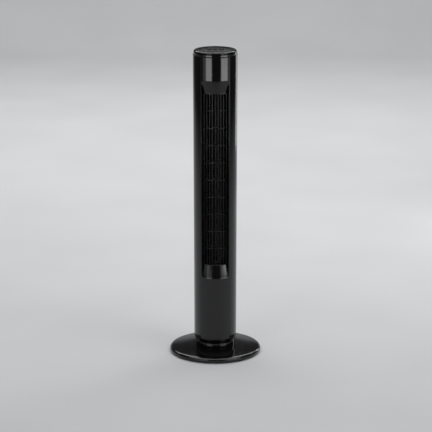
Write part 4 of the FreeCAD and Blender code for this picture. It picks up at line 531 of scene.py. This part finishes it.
def rib_outline(outer, height, thickness):
    """Section of one rib: its nose is flat with small rounded corners."""
    bottom, top = height - thickness / 2, height + thickness / 2
    return rounded_outline([(grille_back, bottom, 0.2 * MM), (outer, bottom, 0.2 * thickness),
                            (outer, top, 0.2 * thickness), (grille_back, top, 0.2 * MM)], steps=5)


pitch = 2 * OUTLET / (BAR_COUNT + 1)
centres = (np.arange(BAR_COUNT) - (BAR_COUNT - 1) / 2) * pitch
bars = [upright(bar_outline(centre, BAR), GRILLE_LOW, GRILLE_TOP) for centre in centres]
stiles = [upright(bar_outline(side * (OUTLET - 0.15 * MM - BAR / 2), BAR), GRILLE_LOW, GRILLE_TOP)
          for side in (-1, 1)]
levels = np.linspace(GRILLE_LOW, GRILLE_TOP, CELLS + 1)[1:-1]
ribs = [swept(rib_outline(GRILLE_FRONT - RIB_SETBACK, z, BAR), -50, 50, 60) for z in levels]
rails = [swept(rib_outline(GRILLE_FRONT, z, 2 * MM), -46.5, 46.5, 60)
         for z in (GRILLE_LOW + 1 * MM, GRILLE_TOP - 1 * MM)]
grille = make_piece("outlet_grille", *joined(*bars, *stiles, *ribs, *rails), satin_abs, "column",
                    "satin_black")
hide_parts("front_grille")
print(f"{BAR_COUNT} bars {1000 * pitch:.1f} mm apart, {len(levels)} ribs")

# %% [markdown]
# The rear shell has two windows: a tall one for the inlet grille and one with round corners for the
# hand grip. A sheet of cells covers the whole shell. The cells inside a window are left out, and the
# rows bend round the grip's corners, so its edge is a true curve.

# %% Rear shell
GRIP_CORNER = 9 * MM
INLET_LOW, INLET_TOP = low("inlet_grille")[2] - 0.2 * MM, high("inlet_grille")[2] + 0.2 * MM


def grip_edge(across):
    """How far the grip's window edge comes in from its top and bottom at a distance from the middle:
    the corner's radius less the height of its arc there."""
    past = np.clip((np.abs(across) - (GRIP_HALF - GRIP_CORNER)) / GRIP_CORNER, 0, 1)
    return GRIP_CORNER * (1 - np.sqrt(1 - past ** 2))


def rear_sheet():
    """Angles, heights and which cells are kept. Columns crowd where the grip's corners are."""
    radius = column_radius((GRIP_LOW + GRIP_TOP) / 2)
    bend = (GRIP_HALF - GRIP_CORNER) + GRIP_CORNER * np.sin(np.radians(np.linspace(0, 90, 10)))
    corner = np.degrees(np.arcsin(bend / radius))
    half = np.concatenate([np.linspace(0, corner[0], 16)[:-1], corner,
                           np.linspace(corner[-1], INLET_ANGLE, 18)[1:],
                           np.linspace(INLET_ANGLE, 90 - seam_angle / 2, 14)[1:]])
    angle = np.concatenate([-half[:0:-1], half])
    inset = grip_edge(radius * np.sin(np.radians(np.minimum(np.abs(angle), corner[-1]))))
    bottom, top = GRIP_LOW + inset, GRIP_TOP - inset
    steps = [(np.full_like(bottom, SHELL_LOW), INLET_LOW, 12), (np.full_like(bottom, INLET_LOW), INLET_TOP, 24),
             (np.full_like(bottom, INLET_TOP), bottom, 5), (bottom, top, 4), (top, SHELL_TOP, 5)]
    rows = [start + (end - start) * way for start, end, count in steps
            for way in np.linspace(0, 1, count, endpoint=False)]
    height = np.array(rows + [np.full_like(bottom, SHELL_TOP)])
    keep = np.ones((len(height) - 1, len(angle) - 1), bool)
    middle = np.abs(angle[1:] + angle[:-1]) / 2
    keep[12:36, middle < INLET_ANGLE] = False
    keep[41:45, middle < corner[-1]] = False
    return angle, height, keep


def pierced_wall(angle, height, keep, thickness):
    """Outer and inner skins over the kept cells, joined by a rim wherever a kept cell meets a gap."""
    outer, inner = on_column(180 + angle[None], height), on_column(180 + angle[None], height, thickness)
    count = outer.shape[0] * outer.shape[1]
    cells = grid_faces(*outer.shape[:2])[keep.ravel()]
    padded = np.pad(keep, 1)
    number = np.arange(count).reshape(outer.shape[:2])
    level = padded[1:, 1:-1] != padded[:-1, 1:-1]
    plumb = padded[1:-1, 1:] != padded[1:-1, :-1]
    pairs = np.concatenate([np.stack([number[:, :-1][level], number[:, 1:][level]], 1),
                            np.stack([number[:-1][plumb], number[1:][plumb]], 1)])
    rim = np.c_[pairs, pairs[:, ::-1] + count]
    points = np.concatenate([outer.reshape(-1, 3), inner.reshape(-1, 3)])
    return points, np.concatenate([cells, cells[:, ::-1] + count, rim])


rear_points, rear_faces = pierced_wall(*rear_sheet(), WALL)
used, renumbered = np.unique(rear_faces, return_inverse=True)
rear = make_piece("rear_shell_moulding", rear_points[used], renumbered.reshape(rear_faces.shape), satin_abs,
                  "column", "satin_black", bevel=0.35 * MM)
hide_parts("rear_shell")
print("rear shell:", len(rear.data.polygons), "faces")

# %% [markdown]
# The inlet grille is a stack of level rings with rounded edges between square upright posts. The rings
# repeat, so each has only a few points in its section.

# %% Inlet grille
RING_COUNT, POST_COUNT = 61, 8
ring_depths = (0.1 * MM, WALL)


def ring_outline(height, tall):
    """Section of one ring: a rounded bar that follows the column's surface."""
    radius = column_radius(height)
    ends = [(radius - ring_depths[1], height - tall / 2), (radius - ring_depths[0], height - tall / 2),
            (radius - ring_depths[0], height + tall / 2), (radius - ring_depths[1], height + tall / 2)]
    return rounded_outline([(across, up, 0.7 * MM) for across, up in ends], steps=3)


def post(degrees, width):
    """An upright bar at an angle, as a grid of its four long edges at the bottom and top."""
    half = math.degrees(width / 2 / FOOT_RADIUS)
    edges = [(-half, ring_depths[1]), (half, ring_depths[1]), (half, 0.5 * MM), (-half, 0.5 * MM)]
    ends = [[on_column(180 + degrees + turn, z, depth) for turn, depth in edges]
            for z in (INLET_LOW + 0.2 * MM, INLET_TOP - 0.2 * MM)]
    faces = [tuple(face) for face in grid_faces(2, 4, False, True)]
    return np.array(ends).reshape(-1, 3), faces + [(0, 1, 2, 3), (7, 6, 5, 4)]


ring_heights = np.linspace(INLET_LOW + 3 * MM, INLET_TOP - 3 * MM, RING_COUNT)
rings = [swept(ring_outline(z, 3.5 * MM), 180 - INLET_ANGLE + 0.2, 180 + INLET_ANGLE - 0.2, 56)
         for z in ring_heights]
borders = [swept(ring_outline(z, 4.4 * MM), 180 - INLET_ANGLE + 0.2, 180 + INLET_ANGLE - 0.2, 56)
           for z in (INLET_LOW + 2.4 * MM, INLET_TOP - 2.4 * MM)]
post_angles = np.linspace(-INLET_ANGLE + 1.9, INLET_ANGLE - 1.9, POST_COUNT)
posts = [post(angle, 2.6 * MM) for angle in post_angles]
inlet = make_piece("inlet_rings", *joined(*rings, *borders, *posts), satin_abs, "column", "satin_black")
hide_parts("inlet_grille")
print(f"{RING_COUNT} rings, {len(inlet.data.polygons)} faces")

# %% [markdown]
# The cap closes the column. Its outer edge is a generous round, and the rim stands a little above the
# control panel, which hides the panel's joint from the side.

# %% Cap
CAP_LOW = SHELL_TOP + SEAM
cap_outline = rounded_outline([
    (CAP_RADIUS, CAP_LOW, 0.4 * MM), (CAP_RADIUS, CAP_TOP, 6.2 * MM),
    (CONTROL_RADIUS + 0.3 * MM, CAP_TOP, 1.1 * MM), (CONTROL_RADIUS + 0.3 * MM, CONTROL_TOP - 2.5 * MM, 0.2 * MM),
    (CONTROL_RADIUS - 4.7 * MM, CONTROL_TOP - 2.5 * MM, 0.4 * MM),
    (CONTROL_RADIUS - 4.7 * MM, CONTROL_TOP - 5 * MM, 0.4 * MM),
    (COLUMN_RADIUS - 7.4 * MM, CONTROL_TOP - 5 * MM, 0.4 * MM),
    (COLUMN_RADIUS - 7.4 * MM, low("top_cap")[2], 0.4 * MM),
    (COLUMN_RADIUS - 5.1 * MM, low("top_cap")[2], 0.4 * MM), (COLUMN_RADIUS - 5.1 * MM, CAP_LOW, 0.4 * MM)])
cap = make_piece("cap_moulding", *swept(cap_outline, steps=224), gloss_abs, "column", "gloss_black")
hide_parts("top_cap")
print("cap:", len(cap.data.polygons), "faces")

# %% [markdown]
# The buttons are low domes with a shallow dish for a fingertip. Each one rides on its own body, so it
# goes down when it is pressed.

# %% Buttons
BUTTONS = ("power_button", "speed_button", "swing_button", "timer_button")


def button_grid(node):
    """A turned button at its own place: a rounded skirt and a top that dips by the square of the radius."""
    lowest, highest = low(node), high(node)
    middle, radius = (lowest + highest) / 2, 6.4 * MM
    dish = np.linspace(radius - 1 * MM, 0, 9)
    outline = rounded_outline([(0, highest[2] - 3 * MM, 0), (radius, highest[2] - 3 * MM, 0.3 * MM),
                               (radius, highest[2], 0.7 * MM)])
    top = highest[2] - 0.35 * MM * (1 - (dish / (radius - 1 * MM)) ** 2)
    outline = np.concatenate([outline[:-1], np.c_[dish, top]])
    points, faces = swept(outline, steps=64)
    return points + np.array([middle[0], middle[1], 0]), faces


for node in BUTTONS:
    button = make_piece(node + "_cap", *button_grid(node), textured_abs, node + "_body", "satin_black")
    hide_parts(node)
print(len(BUTTONS), "buttons")

# %% [markdown]
# Each button has a small printed sign beside it: a broken ring with a stroke for power, rising bars
# for speed, an arc with two ends for swing and a ring with a hand for the timer. The print stands
# a twentieth of a millimetre above the panel, as a thick screen print does.

# %% Signs beside the buttons
PRINT_LOW, PRINT_TOP = CONTROL_TOP - 0.3 * MM, CONTROL_TOP + 0.05 * MM


def ring_print(centre, radius, start, end, line=0.55 * MM):
    """Part of a flat ring round a centre, with a rectangular section. Angle 0 points to the front."""
    section = np.array([(radius - line / 2, PRINT_LOW), (radius + line / 2, PRINT_LOW),
                        (radius + line / 2, PRINT_TOP), (radius - line / 2, PRINT_TOP)])
    points, faces = swept(section, start, end, 40)
    return points + np.array([*centre, 0]), faces


def bar_print(centre, wide, tall):
    """A bar with round ends, as a rounded outline carried straight up."""
    x, y = centre
    corner = 0.45 * min(wide, tall)
    outline = rounded_outline([(x - wide / 2, y - tall / 2, corner), (x + wide / 2, y - tall / 2, corner),
                               (x + wide / 2, y + tall / 2, corner), (x - wide / 2, y + tall / 2, corner)])
    return upright(outline, PRINT_LOW, PRINT_TOP)


sign_y = high("power_button")[1] + 4.2 * MM
power_x, speed_x, swing_x, timer_x = ((low(node)[0] + high(node)[0]) / 2 for node in BUTTONS)
line = 0.55 * MM
signs = joined(
    ring_print((power_x, sign_y), 1.9 * MM, -145, 145),
    bar_print((power_x, sign_y + 1.5 * MM), line, 2.2 * MM),
    *[bar_print((speed_x + (n - 1) * 1.3 * MM, sign_y + (n - 2) * 0.5 * MM), line, (n + 1) * 1.1 * MM)
      for n in range(3)],
    ring_print((swing_x, sign_y + 0.6 * MM), 2 * MM, -80, 80),
    bar_print((swing_x - 2 * MM, sign_y + 0.9 * MM), 1.3 * MM, line),
    bar_print((swing_x + 2 * MM, sign_y + 0.9 * MM), 1.3 * MM, line),
    ring_print((timer_x, sign_y), 1.9 * MM, -180, 180),
    bar_print((timer_x, sign_y + 0.5 * MM), line, 1.5 * MM))
print_piece = make_piece("button_signs", *signs, acetal, "column", "white_plastic")
print("signs:", len(print_piece.data.polygons), "faces")

# %% [markdown]
# The studio is a pale floor that curves up into a wall. Two soft boxes stand at the front corners and
# light from above fills the floor. Gloss shows the lights' shapes, so their places decide where the
# streaks on the column fall.

# %% Studio floor and lights


def paper(name, colour):
    """Matt backdrop paper: its tone drifts a little over half a metre and it has a fine tooth."""
    finish, tree, place = new_finish(name)
    drift = add_node(tree, "TexNoise", {"Vector": place, "Scale": 2.0, "Detail": 1.0})
    tone = ramp(tree, drift.outputs["Fac"], [(0.2, colour), (0.8, "#d2d3d5")])
    tooth = add_node(tree, "TexNoise", {"Vector": place, "Scale": 900.0, "Detail": 1.0})
    skin = add_node(tree, "Bump", {"Height": tooth.outputs["Fac"], "Distance": 0.02 * MM, "Strength": 1.0})
    close(tree, add_node(tree, "BsdfPrincipled", {
        "Base Color": tone, "Roughness": 0.9, "Normal": skin.outputs["Normal"]}))
    return finish


def sweep_grid(half_width, front, bend_start, radius, top):
    """Floor profile run across the room: flat to the bend, then a quarter circle, then straight up."""
    turn = np.radians(np.linspace(0, 90, 25))
    y = np.concatenate([[front], bend_start + radius * np.sin(turn), [bend_start + radius]])
    z = np.concatenate([[0.0], radius * (1 - np.cos(turn)), [top]])
    x = np.linspace(-half_width, half_width, 9)[:, None]
    return np.stack([x + 0 * y, y + 0 * x, z + 0 * x], axis=2)


floor_points = sweep_grid(6.5, -1.25, 5.5, 1.4, 1.9)
mesh = bpy.data.meshes.new("studio_sweep")
mesh.from_pydata(floor_points.reshape(-1, 3).tolist(), [], grid_faces(*floor_points.shape[:2]).tolist())
mesh.shade_smooth()
mesh.materials.append(paper("backdrop_paper", "#d9dadc"))
floor = bpy.data.objects.new("studio_sweep", mesh)
bpy.context.scene.collection.objects.link(floor)


def soft_box(name, azimuth, distance, height, wide, tall, power, aim):
    """A rectangular light at an angle from the front, pointed at a height on the column's axis."""
    light = bpy.data.lights.new(name, "AREA")
    light.shape, light.size, light.size_y, light.energy = "RECTANGLE", wide, tall, power
    lamp = bpy.data.objects.new(name, light)
    turn = math.radians(azimuth)
    lamp.location = (distance * math.sin(turn), -distance * math.cos(turn), height)
    down = math.atan2(height - aim, distance)
    lamp.rotation_euler = (math.pi / 2 - down, 0, turn)
    bpy.context.scene.collection.objects.link(lamp)
    return lamp


lamps = [soft_box("soft_box_left", -33, 3.0, 0.29, 1.65, 0.52, 9.5, 0.6),
         soft_box("soft_box_left_edge", -44, 3.2, 0.29, 2.6, 0.52, 2.8, 0.6),
         soft_box("soft_box_right", 48, 3.0, 0.29, 1.95, 0.52, 12, 0.6),
         soft_box("soft_box_right_edge", 58, 3.2, 0.29, 3.0, 0.52, 2.8, 0.6),
         soft_box("high_box_left", -33, 2.0, 2.1, 0.8, 0.3, 5.0, 1.0),
         soft_box("high_box_right", 50, 2.0, 2.1, 1.3, 0.3, 8.5, 1.0),
         soft_box("rim_box", 139, 2.2, 0.75, 0.3, 1.0, 3, 0.5)]
ceiling = [soft_box("ceiling_box", 180, 0.6, 3.4, 5.0, 3.5, 80, 0),
           soft_box("ceiling_box_back", 180, 3.7, 3.4, 8.0, 2.4, 150, 0)]
for lamp in ceiling:
    lamp.rotation_euler = (0, 0, 0)
world = bpy.data.worlds.new("studio_room")
world.use_nodes = True
world.node_tree.nodes["Background"].inputs["Color"].default_value = (0.045, 0.045, 0.046, 1)
bpy.context.scene.world = world
print("studio:", len(lamps) + len(ceiling), "lights")

# %% [markdown]
# The camera stands back with a long lens, so the column's sides stay nearly parallel. It is higher
# than the fan and looks down on it.

# %% Camera
view = bpy.data.cameras.new("studio_camera")
view.sensor_width, view.lens = 36, 158.1
camera = bpy.data.objects.new("studio_camera", view)
camera.location = (0, -6.0, 2.042)
camera.rotation_euler = (math.radians(75.22), 0, math.radians(-0.024))
bpy.context.scene.collection.objects.link(camera)
bpy.context.scene.camera = camera
bpy.context.scene.view_settings.view_transform = "Standard"
